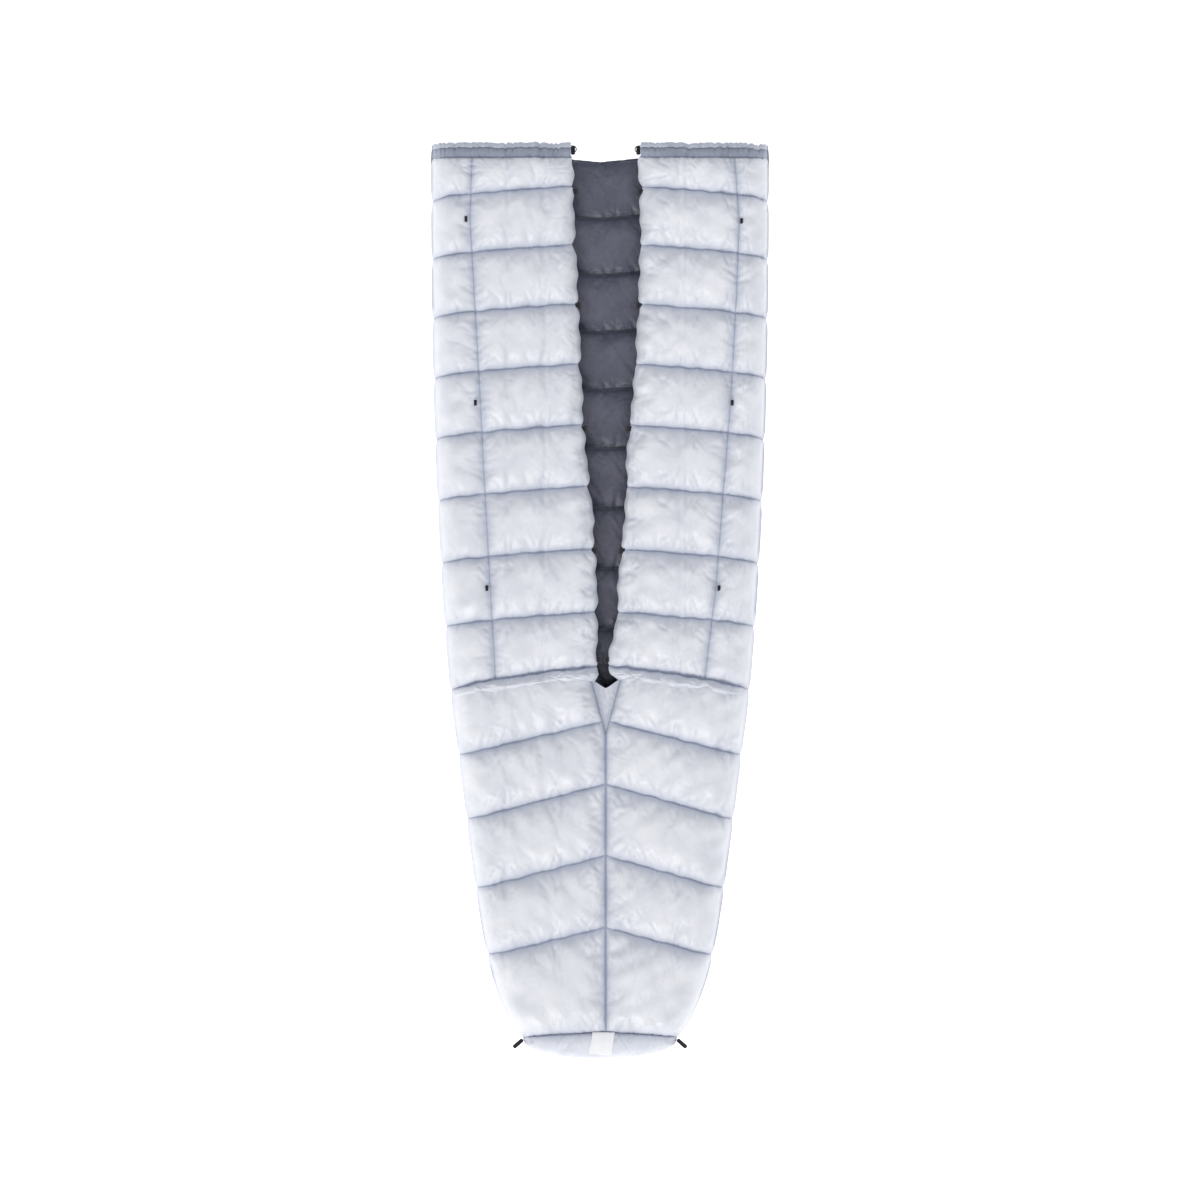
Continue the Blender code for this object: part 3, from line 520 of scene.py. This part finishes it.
def front_plan(side, seams, rises, per, cols, inner, power, along_seam=None):
    """Grid of a front panel: columns share the way from side to inner edge, rows rise to the middle.

    A row is y = side y + rise * s^power, s being the share of the way to the middle. One column follows
    along_seam, where there is one.
    """
    side_y, rise, gap = chambers(seams, rises, per)
    last = len(seams) - 1
    power = np.interp(np.arange(len(side_y)) / per, (0, 1, last - 1, last), power)
    half = edge_half(side_y, gap)
    reach = half - side * MIDDLE_X
    at = MIDDLE_X + side * 0.03
    for _ in range(8):
        share = np.clip(1 - np.abs(at - MIDDLE_X) / reach, 0, 1)
        at = inner(side_y + rise * share ** power, 0.006 * ease(gap / 0.045))
    u = np.linspace(0, 1, cols)[None, :]
    if along_seam is not None:
        held = along_seam(side_y)
        for _ in range(4):
            share = np.clip(1 - np.abs(held - MIDDLE_X) / reach, 0, 1)
            held = along_seam(side_y + rise * share ** power)
        way = ((side * half - held) / (side * half - at))[:, None]
        past = (u - LONG_SHARE) / (1 - LONG_SHARE)
        u = np.where(u < LONG_SHARE, u / LONG_SHARE * way, way + past * (1 - way))
    x = mix((side * half)[:, None], np.broadcast_to(at, side_y.shape)[:, None], u)
    share = np.clip(1 - np.abs(x - MIDDLE_X) / reach[:, None], 0, 1)
    y = side_y[:, None] + rise[:, None] * share ** power[:, None]
    calm = np.clip(np.minimum(np.arange(len(y)), np.arange(len(y))[::-1]) / per, 0, 1)[:, None]
    inward = np.clip((half[:, None] - np.abs(x)) / 0.03, 0, 1)
    y = y + 0.0016 * waves(x, y, (0.035, 0.06), 500 + side) * calm * inward
    return x, y, gap[:, None], np.abs(x - x[:, -1:])


def front_height(x, y, gap, free, long_gap, seed, edge_z):
    """Outer face: rounds over from the side, dips at each seam, and tapers to edge_z at the free edge."""
    puff = ease(gap / 0.046) * (1 - 0.5 * (1 - ease(long_gap / 0.032)))
    body = rounding(x, y)
    lump = waves(x, y, (0.08, 0.13), seed) * 0.0042 + waves(x, y, (0.04,), seed + 1) * 0.0016
    gathers = pucker(x, gap + 0 * x, 0.040, seed + 2)
    gathers = gathers + 0.85 * pucker(y, free, 0.042, seed + 3) * ease(gap / 0.02)
    gathers = gathers + 0.75 * pucker(y, long_gap, 0.028, seed + 4) * ease(gap / 0.02)
    outer = CREST_Z - 0.003 - 0.023 * (1 - puff) + lump * puff
    high = mix(BACK_TOP + 0.0005, outer, body) + 0.0056 * gathers * np.clip(4 * body, 0, 1)
    return mix(edge_z, high, ease(free / FREE_SOFT)), gathers


def lining_height(x, y, gap, free, seed, edge_z):
    """Lining face of the front: hangs over the body space, tapers to edge_z at the free edge."""
    body = rounding(x, y)
    inner = LINING_TOP + 0.010 * (1 - ease(gap / 0.046)) + waves(x, y, (0.09,), seed) * 0.002
    held = mix(BACK_TOP - 0.0006, inner, np.clip(body * 1.15 - 0.15, 0, 1))
    return mix(edge_z - 0.0010, held, ease(free / FREE_SOFT))


def settle(start, pinned, near, hold, pressure=6.0, frames=18, reach=0.010):
    """Let a grid of cloth, cut larger by its seams and sewn down where pinned, blow up and wrinkle.

    near is 1 at a seam, where the extra cloth is gathered; hold is 0 where the grid may not move at all.
    """
    rows, cols = start.shape[:2]
    piece = cloth("settling", start, shell_nylon, 0.0)
    sewn = piece.vertex_groups.new(name="sewn")
    sewn.add(np.flatnonzero(pinned.ravel()).tolist(), 1.0, "REPLACE")
    gathered = piece.vertex_groups.new(name="gathered")
    levels = np.round(np.clip(near, 0, 1) * 20).astype(int).ravel()
    for level in range(21):
        members = np.flatnonzero(levels == level).tolist()
        if members:
            gathered.add(members, level / 20, "REPLACE")
    solver = piece.modifiers.new("cloth", "CLOTH")
    setting = solver.settings
    setting.quality = 5
    setting.mass = 0.15
    setting.tension_stiffness = 25.0
    setting.compression_stiffness = 25.0
    setting.shear_stiffness = 8.0
    setting.bending_stiffness = 0.06
    setting.shrink_min = -0.025
    setting.shrink_max = -0.17
    setting.vertex_group_shrink = "gathered"
    setting.use_pressure = True
    setting.uniform_pressure_force = pressure
    setting.vertex_group_mass = "sewn"
    setting.effector_weights.gravity = 0.0
    setting.air_damping = 4.0
    solver.collision_settings.use_collision = False
    solver.collision_settings.use_self_collision = False
    scene = bpy.context.scene
    for number in range(1, frames + 1):
        scene.frame_set(number)
    moved = piece.evaluated_get(bpy.context.evaluated_depsgraph_get())
    places = np.zeros(rows * cols * 3, np.float32)
    moved.data.vertices.foreach_get("co", places)
    bpy.data.objects.remove(piece, do_unlink=True)
    scene.frame_set(1)
    shift = places.reshape(rows, cols, 3).astype(float) - start
    size = np.linalg.norm(shift, axis=-1, keepdims=True)
    return start + shift * reach * np.tanh(size / reach) / np.maximum(size, 1e-9) * hold[..., None]


def subdivide(piece):
    """Smooth a settled sheet between its points."""
    smooth = piece.modifiers.new("smooth", "SUBSURF")
    smooth.levels = 1
    smooth.render_levels = 1
    return piece


FOLD_REACH = 0.012


def fold_band(side):
    """Two points 24 mm apart, outside and inside the fold line of a front panel."""
    joint = next(j for j in frame["joints"] if j["name"] == f"{WORDS[side]}_flap_fold")
    middle = np.array(joint["pos_m"], float)
    axis = np.array(joint["axis"], float)
    inward = np.cross(axis, (0.0, 0.0, 1.0))
    inward *= -side * np.sign(inward[0]) / np.linalg.norm(inward)
    return tuple(middle - FOLD_REACH * inward), tuple(middle + FOLD_REACH * inward)


WORDS = {-1: "left", 1: "right"}
front = {}
for side, word in WORDS.items():
    seams = [SHELL_START] + HEAD_SEAMS[1:] + [MOUTH_Y - ROLL]
    to_mouth = FRONT_ROWS * (len(seams) - 2)
    x, y, gap, free = front_plan(side, seams, FRONT_RISES, FRONT_ROWS, FRONT_COLUMNS,
                                 lambda level, bulge, s=side: free_line(s, level, bulge),
                                 (0.65, 0.65, 0.65, 0.65), lambda level, s=side: long_line(s, level))
    long_gap = np.abs(x - long_line(side, y))
    number = np.arange(len(x))[:, None]
    roll = number > to_mouth
    long_gap = np.where(roll, 1.0, long_gap)
    z, gathers = front_height(x, y, np.where(roll, 2.2 * gap, gap), free, long_gap, 100 + side, EDGE_Z)
    over = np.clip(number / FRONT_ROWS - to_mouth // FRONT_ROWS, 0, 1)
    z = z - 0.012 * ease(over) ** 4 * rounding(x, y) * (over > 0.5) * (2 * over - 1)
    z = z + 0.003 * np.sin(np.pi * over)
    points = np.stack([x, y, z], -1)
    pinned = np.zeros(x.shape, bool)
    pinned[::FRONT_ROWS] = True
    pinned[:, 0] = True
    pinned[:, -1] = True
    nearest = np.argmin(long_gap, axis=1)
    pinned[np.arange(len(x)), nearest] = True
    inside = half_width(y) - np.abs(x)
    near = np.exp(-np.minimum(np.minimum(gap + 0 * x, long_gap * 1.4), free * 1.2) / 0.028)
    hold = np.clip(inside / 0.045, 0.08, 1) * np.clip(free / 0.02 + 0.2, 0, 1)
    points = settle(points, pinned, near, hold)
    # Seam lines, and painted shade beside the seams and the free edge, in the gathers' valleys and where the
    # side rounds over.
    mark = seam_line_and_shade(np.minimum(gap + 0 * x, np.minimum(long_gap * 1.15, free * 2 + 0.006)))
    mark = np.maximum(mark, np.maximum(crease_shade(gathers), 0.62 * np.exp(-np.maximum(inside, 0) / 0.012)))
    mark[:to_mouth, LONG_COLUMN] = 0.98
    shell = subdivide(cloth(f"{word}_front_shell", points, shell_nylon, mark))
    inner = lining_height(x, y, gap, free, 140 + side, EDGE_Z)
    # Lining: seam lines with painted shade beside them.
    lining = cloth(f"{word}_front_lining", np.stack([x, y, inner], -1), slate_lining, seam_line_and_shade(gap),
                   up=False)
    front[side] = points
    outside, inside = fold_band(side)
    for piece, layer, slot_name in ((shell, "shell", "shell_nylon"), (lining, "lining", "lining_nylon")):
        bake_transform(piece)
        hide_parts(f"{word}_side_{layer}", f"{word}_flap_{layer}")
    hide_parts(f"{word}_side_fill", f"{word}_flap_fill")

# ---------------------------------------------------------------- footbox
# Below the mouth the same two layers are sewn shut down the middle, so the front makes a closed box for
# the feet. Its cross seams run up to the centre seam in a V.

FOOT_RISES = [0.055, 0.073, 0.076, 0.071, 0.061, 0.021]
GUSSET_HALF = 0.038
GUSSET_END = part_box("mouth_gusset")[0][1]


def centre_line(side, y):
    """x of a footbox panel's inner edge: the V of the gusset, then the centre seam."""
    opened = np.clip((y - GUSSET_END) / (MOUTH_Y + FOOT_RISES[0] - GUSSET_END), 0, 1)
    return MIDDLE_X + side * (0.0006 + GUSSET_HALF * opened)


FOOT_ROWS = 28
FOOT_COLUMNS = 61
END_POWER = 0.28
foot = {}
for side, word in WORDS.items():
    x, y, gap, free = front_plan(side, FOOT_SEAMS, FOOT_RISES, FOOT_ROWS, FOOT_COLUMNS,
                                 lambda level, bulge, s=side: centre_line(s, level),
                                 (0.65, 1.0, 1.0, END_POWER))
    z, gathers = front_height(x, y, gap, free, np.full(x.shape, 1.0), 200 + side, SEAM_Z)
    points = np.stack([x, y, z], -1)
    pinned = np.zeros(x.shape, bool)
    pinned[::FOOT_ROWS] = True
    pinned[:, 0] = True
    pinned[:, -1] = True
    inside = np.minimum(half_width(y) - np.abs(x), y - arc_y(x))
    near = np.exp(-np.minimum(gap + 0 * x, free) / 0.028)
    points = settle(points, pinned, near, np.clip(inside / 0.045, 0.08, 1))
    # Seam lines, and painted shade beside the seams and the centre edge, in the gathers' valleys and where the
    # side rounds over.
    mark = np.maximum(seam_line_and_shade(np.minimum(gap + 0 * x, free * 1.5)), crease_shade(gathers))
    mark = np.maximum(mark, 0.62 * np.exp(-np.maximum(inside, 0) / 0.012))
    shell = subdivide(cloth(f"{word}_footbox_shell", points, shell_nylon, mark))
    inner = lining_height(x, y, gap, free, 240 + side, SEAM_Z)
    # Lining: seam lines with painted shade beside them.
    lining = cloth(f"{word}_footbox_lining", np.stack([x, y, inner], -1), slate_lining, seam_line_and_shade(gap),
                   up=False)
    foot[side] = points
    for piece, layer, slot_name in ((shell, "shell", "shell_nylon"), (lining, "lining", "lining_nylon")):
        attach(piece, "root")
        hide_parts(f"{word}_foot_{layer}")
    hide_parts(f"{word}_foot_fill")

# ---------------------------------------------------------------- foot end
# A shallow padded panel closes the footbox between the end seam and the foot arc, cut from a greyer
# piece of the same nylon and gathered along both its seams.

end_nylon = nylon("grey_end_panel_nylon", "#E9EBF1", "#DADDE6", "#B9BFCD", "#8A92A6", 0.6, 0.45, 0.1)
END_RISE = FOOT_RISES[-1]
c = np.linspace(-1, 1, 121)[None, :]
share = np.linspace(0, 1, 19)[:, None]
x = c * END_HALF * (1 - 0.02 * share)
lean = 1 - np.abs(x - MIDDLE_X) / (END_HALF - np.sign(x - MIDDLE_X) * MIDDLE_X)
y = mix(END_Y + END_RISE * np.clip(lean, 0, 1) ** END_POWER - 0.0005, arc_y(x), share)
depth = np.abs(y[0] - y)
outer_gap = np.abs(y - y[-1])
high = mix(BACK_TOP + 0.0005, CREST_Z - 0.026, rounding(x, y))
swell = 0.006 * ease(depth / 0.018) * ease(outer_gap / 0.02)
gathers = (pucker(x, depth, 0.030, 301) + 0.4 * pucker(x, outer_gap, 0.018, 302)) * 0.0034
z = high + swell + gathers * np.clip(outer_gap / 0.008, 0, 1)
# Painted shade beside the end seam and in the gathers' valleys.
end_shell = subdivide(cloth("foot_end_cloth", np.stack([x, y, z], -1), end_nylon,
                            np.maximum(seam_line_and_shade(depth), crease_shade(gathers / 0.0034))))
inner = mix(BACK_TOP + 0.0002, LINING_TOP + 0.006, rounding(x, y))
end_lining = cloth("foot_end_inner_cloth", np.stack([x, y, inner], -1), slate_lining, 0.0, up=False)
for piece, layer, slot_name in ((end_shell, "shell", "shell_nylon"), (end_lining, "lining", "lining_nylon")):
    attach(piece, "root")
    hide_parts(f"foot_end_{layer}")
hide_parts("foot_end_fill")

# ---------------------------------------------------------------- gusset and centre seam
# A V of shell nylon is let in below the mouth, where the strain is, and a narrow felled seam runs from
# its point to the foot end.

rows = 40
share = np.linspace(0, 1, rows)[:, None]
across = np.linspace(-1, 1, 33)[None, :]
left_edge, right_edge = foot[-1][:, -1], foot[1][:, -1]
start_y = (left_edge[0, 1] + right_edge[0, 1]) / 2 - 0.022
y = mix(start_y - 0.022 * (1 - np.abs(across) ** 1.3), GUSSET_END - 0.006 + 0 * across, share)
wide = np.abs(centre_line(1, y) - MIDDLE_X) + 0.0012
x = MIDDLE_X + across * wide
z = SEAM_Z - 0.010 * (1 - across ** 2) * (1 - share) 
folds = pucker(x + 0.3 * (y - start_y) * across, 0.4 * (start_y - y) + 0 * x, 0.09, 312)
z = z + 0.0022 * folds
# Seam lines at the gusset's edges, with painted shade beside them and in its folds' valleys.
gusset = cloth("mouth_gusset_cloth", np.stack([x, y, z], -1), end_nylon,
               np.maximum(seam_line_and_shade(wide * (1 - np.abs(across))), crease_shade(folds)))
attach(gusset, "root")
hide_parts("mouth_gusset")

along = np.linspace(GUSSET_END, END_Y + END_RISE, 240)
height = np.interp(-along, -right_edge[:, 1], right_edge[:, 2])
ripple = 0.0007 * np.sin(2 * np.pi * along / 0.011 + 3 * np.sin(along * 40))
route = np.stack([MIDDLE_X + 0.4 * ripple, along, height + 0.0004 + 0.3 * ripple], 1)
centre_seam = round_tube("centre_seam_fell", route, 0.0010, shell_nylon, sides=8)
mark = centre_seam.data.attributes.new("seam", "FLOAT", "POINT")
mark.data.foreach_set("value", np.full(len(centre_seam.data.vertices), 0.93, np.float32))
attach(centre_seam, "root")
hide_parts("centre_seam")

# ---------------------------------------------------------------- head hems
# Each flap's head edge ends in a drawcord channel: a pale ruffled tube, with a flat band sewn between it and
# the first chamber, coloured slate as painted shade under the tube.

hem_pale = nylon("pale_ruffled_hem_nylon", "#CFD3DE", "#BDC3D0", "#A2A9BA", "#7C8496", 0.7, 0.45, 0.1)
# The band's slate colours are painted shade under the hem tube.
hem_band_shade = nylon("hem_band_painted_shade_nylon", "#B9BFCC", "#A9B0BF", "#878FA1", "#5F6679", 0.5, 0.45, 0.1)
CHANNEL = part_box("left_head_hem")
for side, word in WORDS.items():
    edge = front[side][0]
    order = np.argsort(edge[:, 0])
    inner_x = MIDDLE_X + side * FREE_HALF[side][-1]
    outer_x = side * (HEAD_HALF - 0.002)
    c = np.linspace(0, 1, 150)[:, None]
    x = mix(outer_x, inner_x, c)
    base = np.interp(x, edge[order, 0], edge[order, 2])
    ridge = pucker(x, 0.0, 1.0, 330 + side)
    angle = np.linspace(0, 2 * np.pi, 17)[None, :]
    swell = 1.04 + 0.17 * (ridge + 1.4) * (0.7 + 0.3 * np.sin(angle + 9 * x / 0.1))
    mid_y = (CHANNEL[0][1] + CHANNEL[1][1]) / 2 + 0.0024 * ridge
    mid_y = mid_y + 0.0014 * waves(x, 0 * x, (0.05, 0.09), 350 + side)
    mid_z = base - 0.002
    y = mid_y + 0.0072 * swell * np.cos(angle)
    z = mid_z + 0.0062 * swell * np.sin(angle)
    channel = cloth(f"{word}_hem_channel", np.stack([x + 0 * angle, y, z], -1), hem_pale, 0.3 + 0 * angle)
    d = np.linspace(0, 1, 15)[None, :]
    y = mix(SHELL_START - 0.006 + 0 * d, mid_y[:, :1] - 0.003, d) + 0.0008 * ridge * d
    bow = 0.0045 * np.sin(np.pi * d) * (1 + 0.30 * ridge) + 0.0012 * ridge * d
    first = np.interp(x, edge[order, 0], front[side][2][order, 2])
    z = mix(first + 0.0022, base + 0.005, d) + bow
    # Seam lines along the band's two sewn edges, with painted shade beside them.
    band = cloth(f"{word}_hem_band_shade", np.stack([x + 0 * d, y, z], -1), hem_band_shade,
                 seam_line_and_shade(np.minimum(d, 1 - d) * 0.016))
    for piece in (channel, band):
        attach(piece, f"{word}_flap")
    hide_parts(f"{word}_head_hem")
    inside_cord = round_tube(f"{word}_hem_drawcord", np.hstack([x, mid_y, mid_z])[::5], CORD_WIDTH / 2,
                             black_cord)
    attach(inside_cord, f"{word}_flap")
    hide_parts(f"{word}_hem_cord")

places = np.zeros(len(back_lining.data.vertices) * 3, np.float32)
back_lining.data.vertices.foreach_get("co", places)
head_row = places.reshape(-1, LINING_COLUMNS, 3)[0, 28:-28].astype(float)
ripple = pucker(head_row[:, 0], 0.0, 1.0, 341)
route = head_row + np.stack([0 * ripple, 0.0008 * ripple, 0.0006 * ripple - 0.001], 1)
binding = round_tube("back_head_binding_tape", route, 0.0022, slate_lining, sides=8)
mark = binding.data.attributes.new("seam", "FLOAT", "POINT")
mark.data.foreach_set("value", np.full(len(binding.data.vertices), 0.9, np.float32))
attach(binding, "root")
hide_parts("back_head_binding")

# ---------------------------------------------------------------- clips and webbing
# Black moulded clips hang on short black webbing tongues along both free edges. Small webbing loops for
# the pad straps are bar-tacked beside the long seams, and stiff tabs at the foot's corners take a line.


def webbing_black():
    """Woven black polyester webbing, 6 mm wide: faint ribs along it."""
    made, tree, shader = new_material("black_polyester_webbing")
    place = add_node(tree, "ShaderNodeTexCoord")
    ribs = add_node(tree, "ShaderNodeTexWave", Scale=420.0, Distortion=1.5,
                    links=[("Vector", place.outputs["Object"])])
    shade = add_node(tree, "ShaderNodeMixRGB", Color1=linear("#0D0C12"), Color2=linear("#26252C"),
                     links=[("Fac", ribs.outputs["Fac"])])
    bump = add_node(tree, "ShaderNodeBump", Strength=0.5, Distance=0.0003,
                    links=[("Height", ribs.outputs["Fac"])])
    tree.links.new(shade.outputs["Color"], shader.inputs["Base Color"])
    tree.links.new(bump.outputs["Normal"], shader.inputs["Normal"])
    shader.inputs["Roughness"].default_value = 0.7
    return made


def acetal_black():
    """Moulded black acetal: satin, with a very fine spark texture."""
    made, tree, shader = new_material("black_moulded_acetal")
    place = add_node(tree, "ShaderNodeTexCoord")
    spark = add_node(tree, "ShaderNodeTexNoise", Scale=1800.0, Detail=1.0,
                     links=[("Vector", place.outputs["Object"])])
    bump = add_node(tree, "ShaderNodeBump", Strength=0.15, Distance=0.0002,
                    links=[("Height", spark.outputs["Fac"])])
    tree.links.new(bump.outputs["Normal"], shader.inputs["Normal"])
    shader.inputs["Base Color"].default_value = linear("#14131F")
    shader.inputs["Roughness"].default_value = 0.38
    return made


webbing = webbing_black()
acetal = acetal_black()
TONGUE_REACH = 0.0062
TONGUE_ROOT = 0.004
TONGUE_HALF = 0.0052


def rounded_box(name, low, high, radius, finish):
    """A box with rounded edges between two corners."""
    work = bmesh.new()
    bmesh.ops.create_cube(work, size=1.0)
    size = np.array(high, float) - np.array(low, float)
    middle = (np.array(high, float) + np.array(low, float)) / 2
    for vertex in work.verts:
        vertex.co = tuple(middle + np.array(vertex.co) * size)
    bmesh.ops.bevel(work, geom=work.edges[:], offset=radius, segments=3, affect="EDGES", profile=0.5)
    mesh = bpy.data.meshes.new(name)
    work.to_mesh(mesh)
    work.free()
    mesh.polygons.foreach_set("use_smooth", np.full(len(mesh.polygons), True))
    mesh.materials.append(finish)
    piece = bpy.data.objects.new(name, mesh)
    bpy.context.scene.collection.objects.link(piece)
    return piece


for side, word in WORDS.items():
    for number in range(1, 6):
        node = f"{word}_clip_{number}"
        low, high = (np.array(corner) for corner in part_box(node))
        middle = (low + high) / 2
        edge = front[side][:, -1]
        root_x = float(edge[np.argmin(np.abs(edge[:, 1] - middle[1])), 0])
        shift = root_x - (high[0] if side > 0 else low[0]) - side * 0.0008
        solid = bmesh.new()
        solid.from_mesh(frame["nodes"][node].data)
        solid.transform(frame["nodes"][node].matrix_world)
        bmesh.ops.translate(solid, verts=solid.verts[:], vec=(shift, 0.0, 0.0))
        bmesh.ops.remove_doubles(solid, verts=solid.verts[:], dist=0.00001)
        bmesh.ops.recalc_face_normals(solid, faces=solid.faces[:])
        shape = bpy.data.meshes.new(f"{word}_hanging_clip_{number}")
        solid.to_mesh(shape)
        solid.free()
        shape.materials.append(acetal)
        clip = bpy.data.objects.new(f"{word}_hanging_clip_{number}", shape)
        bpy.context.scene.collection.objects.link(clip)
        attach(clip, node)
        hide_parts(node)
        ends = sorted((root_x + side * TONGUE_ROOT, root_x - side * TONGUE_REACH))
        tongue = rounded_box(f"{word}_clip_tongue_{number}",
                             (ends[0], middle[1] - TONGUE_HALF, middle[2] - 0.0006),
                             (ends[1], middle[1] + TONGUE_HALF, middle[2] + 0.0022), 0.0005, webbing)
        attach(tongue, f"{word}_flap")
    for node in (f"{word}_neck_tab", f"{word}_foot_tab"):
        frame["nodes"][node].data.materials.clear()
        frame["nodes"][node].data.materials.append(webbing)

LOOP_AT = {-1: [(-0.282, 0.802), (-0.262, 0.415), (-0.238, 0.025)],
           1: [(0.298, 0.798), (0.278, 0.415), (0.250, 0.025)]}


def surface_z(points, x, y):
    """Height of a settled grid at the point nearest to (x, y)."""
    away = (points[..., 0] - x) ** 2 + (points[..., 1] - y) ** 2
    return float(points[..., 2].ravel()[np.argmin(away)])


def band_loop(name, x, y, seat, finish):
    """Webbing bent into a low arch: z = seat + 4.6 mm * sin(t), y = 6 mm * cos(t), 1.2 mm thick."""
    turn = np.linspace(-0.12, np.pi + 0.12, 22)
    profile = []
    for shrink in (0.0, 0.0012):
        profile.append(np.stack([(0.006 - shrink) * np.cos(turn), (0.0046 - shrink) * np.sin(turn)], 1))
    across = np.array([-0.0030, -0.0027, 0.0027, 0.0030])
    ring_places = [(across[0], 0.15), (across[1], 0.0), (across[2], 0.0), (across[3], 0.15),
                   (across[3], 0.85), (across[2], 1.0), (across[1], 1.0), (across[0], 0.85)]
    points = []
    for step in range(len(turn)):
        for offset, depth in ring_places:
            along, height = mix(profile[0][step], profile[1][step], depth)
            points.append((x + offset, y + along, seat + height))
    count = len(ring_places)
    faces = []
    for step in range(len(turn) - 1):
        for n in range(count):
            m = (n + 1) % count
            faces.append((step * count + n, step * count + m, (step + 1) * count + m, (step + 1) * count + n))
    faces.append(list(range(count)))
    faces.append(list(range((len(turn) - 1) * count, len(turn) * count))[::-1])
    return outwards(mesh_piece(name, points, faces, finish))


for side, word in WORDS.items():
    for number, (x, y) in enumerate(LOOP_AT[side], 1):
        loop = band_loop(f"{word}_webbing_loop_{number}", x, y, surface_z(front[side], x, y) + 0.0003, webbing)
        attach(loop, f"{word}_flap" if number == 1 else "root")
        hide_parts(f"{word}_loop_{number}")

# ---------------------------------------------------------------- label
# A blank woven label, sewn by its upper edge into the end seam, hangs over the end panel.

label_white, tree, shader = new_material("white_woven_label")
place = add_node(tree, "ShaderNodeTexCoord")
threads = add_node(tree, "ShaderNodeTexWave", Scale=700.0, links=[("Vector", place.outputs["Object"])])
bump = add_node(tree, "ShaderNodeBump", Strength=0.15, Distance=0.0002,
                links=[("Height", threads.outputs["Fac"])])
tree.links.new(bump.outputs["Normal"], shader.inputs["Normal"])
shader.inputs["Base Color"].default_value = linear("#FBFBFD")
shader.inputs["Roughness"].default_value = 0.6
corners = np.array([[(-0.0158, -0.9105), (0.0315, -0.9115)], [(-0.0240, -0.9575), (0.0250, -0.9625)]])
LABEL_STEPS = 25
v = np.linspace(0, 1, LABEL_STEPS)[:, None, None]
u = np.linspace(0, 1, LABEL_STEPS)[None, :, None]
plan = mix(mix(corners[0, 0], corners[0, 1], u), mix(corners[1, 0], corners[1, 1], u), v)
settled = np.zeros(len(end_shell.data.vertices) * 3, np.float32)
end_shell.data.vertices.foreach_get("co", settled)
settled = settled.reshape(-1, 3).astype(float)
heights = np.zeros(plan.shape[:2])
for r in range(LABEL_STEPS):
    for k in range(LABEL_STEPS):
        away = (settled[:, 0] - plan[r, k, 0]) ** 2 + (settled[:, 1] - plan[r, k, 1]) ** 2
        heights[r, k] = settled[away < 0.006 ** 2, 2].max()
heights += 0.0016
label = cloth("blank_label", np.dstack([plan, heights]), label_white, 0.0)
thick = label.modifiers.new("thick", "SOLIDIFY")
thick.thickness = 0.0005
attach(label, "label")
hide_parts("label")

# ---------------------------------------------------------------- soft pieces
# The shells are padded with down, and the linings, hems and gusset are single sheets gathered into their seams;
# the loop below sets nothing up for them.
for side, word in WORDS.items():
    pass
